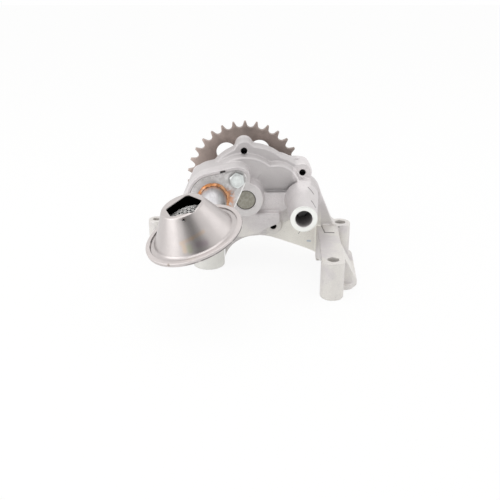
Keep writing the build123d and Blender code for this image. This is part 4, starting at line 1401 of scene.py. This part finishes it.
def make_floor():
    """A pale floor, which the camera and the pump's reflections see as nearly white."""
    half = FLOOR_HALF
    corners = [(-half, -half, 0), (half, -half, 0), (half, half, 0), (-half, half, 0)]
    floor = built("Floor", corners, faces=[(0, 1, 2, 3)])
    floor.location.z = FLOOR_TOP
    f = Finish("white floor")
    paths = f.add("ShaderNodeLightPath")
    seen = paths.other("Is Camera Ray").math("MAXIMUM", paths.other("Is Glossy Ray"))
    seen = seen.math("MAXIMUM", paths.other("Is Transmission Ray"))
    matt = f.add("ShaderNodeBsdfDiffuse", {"Color": (0.82, 0.82, 0.81)})
    glow = f.add("ShaderNodeEmission", {"Color": (1, 1, 1), "Strength": 1.0})
    shader = f.add("ShaderNodeMixShader", {0: seen * 0.9, 1: matt, 2: glow})
    f.add("ShaderNodeOutputMaterial", {0: shader})
    floor.data.materials.append(f.material)


def make_room(strength, dark_end):
    """A white room, open and darker behind the camera, which itself sees plain white."""
    world = bpy.data.worlds.new("White room")
    bpy.context.scene.world = world
    world.use_nodes = True
    room = Nodes(world.node_tree)
    x, y, z = room.split(room.add("ShaderNodeTexCoord", out="Object"))
    across = x / (x * x + y * y).math("SQRT")
    opening = across.over(-0.46, -0.22) * across.under(0.20, 0.74) * (0 - y).over(0.0, 0.25)
    paths = room.add("ShaderNodeLightPath")
    opening = opening * z.over(-0.1, 0.0) * z.under(0.66, 0.90) * paths.other("Is Glossy Ray")
    colour = (1.0, 0.995, 0.99)
    bright = room.add("ShaderNodeBackground", {"Color": colour, "Strength": strength})
    dim = room.add("ShaderNodeBackground", {"Color": colour, "Strength": strength * dark_end})
    around = room.add("ShaderNodeMixShader", {0: opening, 1: bright, 2: dim})
    white = room.add("ShaderNodeBackground", {"Color": (1, 1, 1), "Strength": 1.0})
    both = room.add("ShaderNodeMixShader", {0: paths.other("Is Camera Ray"), 1: around, 2: white})
    room.add("ShaderNodeOutputWorld", {0: both})


class PUMP_PT_panel(Panel):
    bl_label = "Oil Pump"
    bl_idname = "PUMP_PT_panel"
    bl_space_type = "VIEW_3D"
    bl_region_type = "UI"
    bl_category = "Oil Pump"

    def draw(self, context):
        for operator in OPERATORS:
            self.layout.operator(operator.bl_idname)
        for group in (context.scene.pump_sizes, context.scene.pump_colours, context.scene.pump_studio):
            box = self.layout.box()
            for name in group.__annotations__:
                box.prop(group, name)


OPERATORS = (
    PUMP_OT_castings,
    PUMP_OT_sprocket,
    PUMP_OT_strainer,
    PUMP_OT_suction,
    PUMP_OT_fasteners,
    PUMP_OT_inner_parts,
    PUMP_OT_screen,
    PUMP_OT_stage,
)
GROUPS = {"pump_sizes": PumpSizes, "pump_colours": PumpColours, "pump_studio": PumpStudio}


def register():
    for name, group in GROUPS.items():
        bpy.utils.register_class(group)
        setattr(bpy.types.Scene, name, PointerProperty(type=group))
    for cls in (*OPERATORS, PUMP_PT_panel):
        bpy.utils.register_class(cls)


def unregister():
    for cls in reversed((*OPERATORS, PUMP_PT_panel)):
        bpy.utils.unregister_class(cls)
    for name, group in GROUPS.items():
        delattr(bpy.types.Scene, name)
        bpy.utils.unregister_class(group)


def main():
    register()
    for operator in OPERATORS:
        name = operator.bl_idname.split(".")[1]
        if getattr(bpy.ops.pump, name)() != {"FINISHED"}:
            raise RuntimeError(f"{name} didn't finish")


if __name__ == "__main__":
    main()
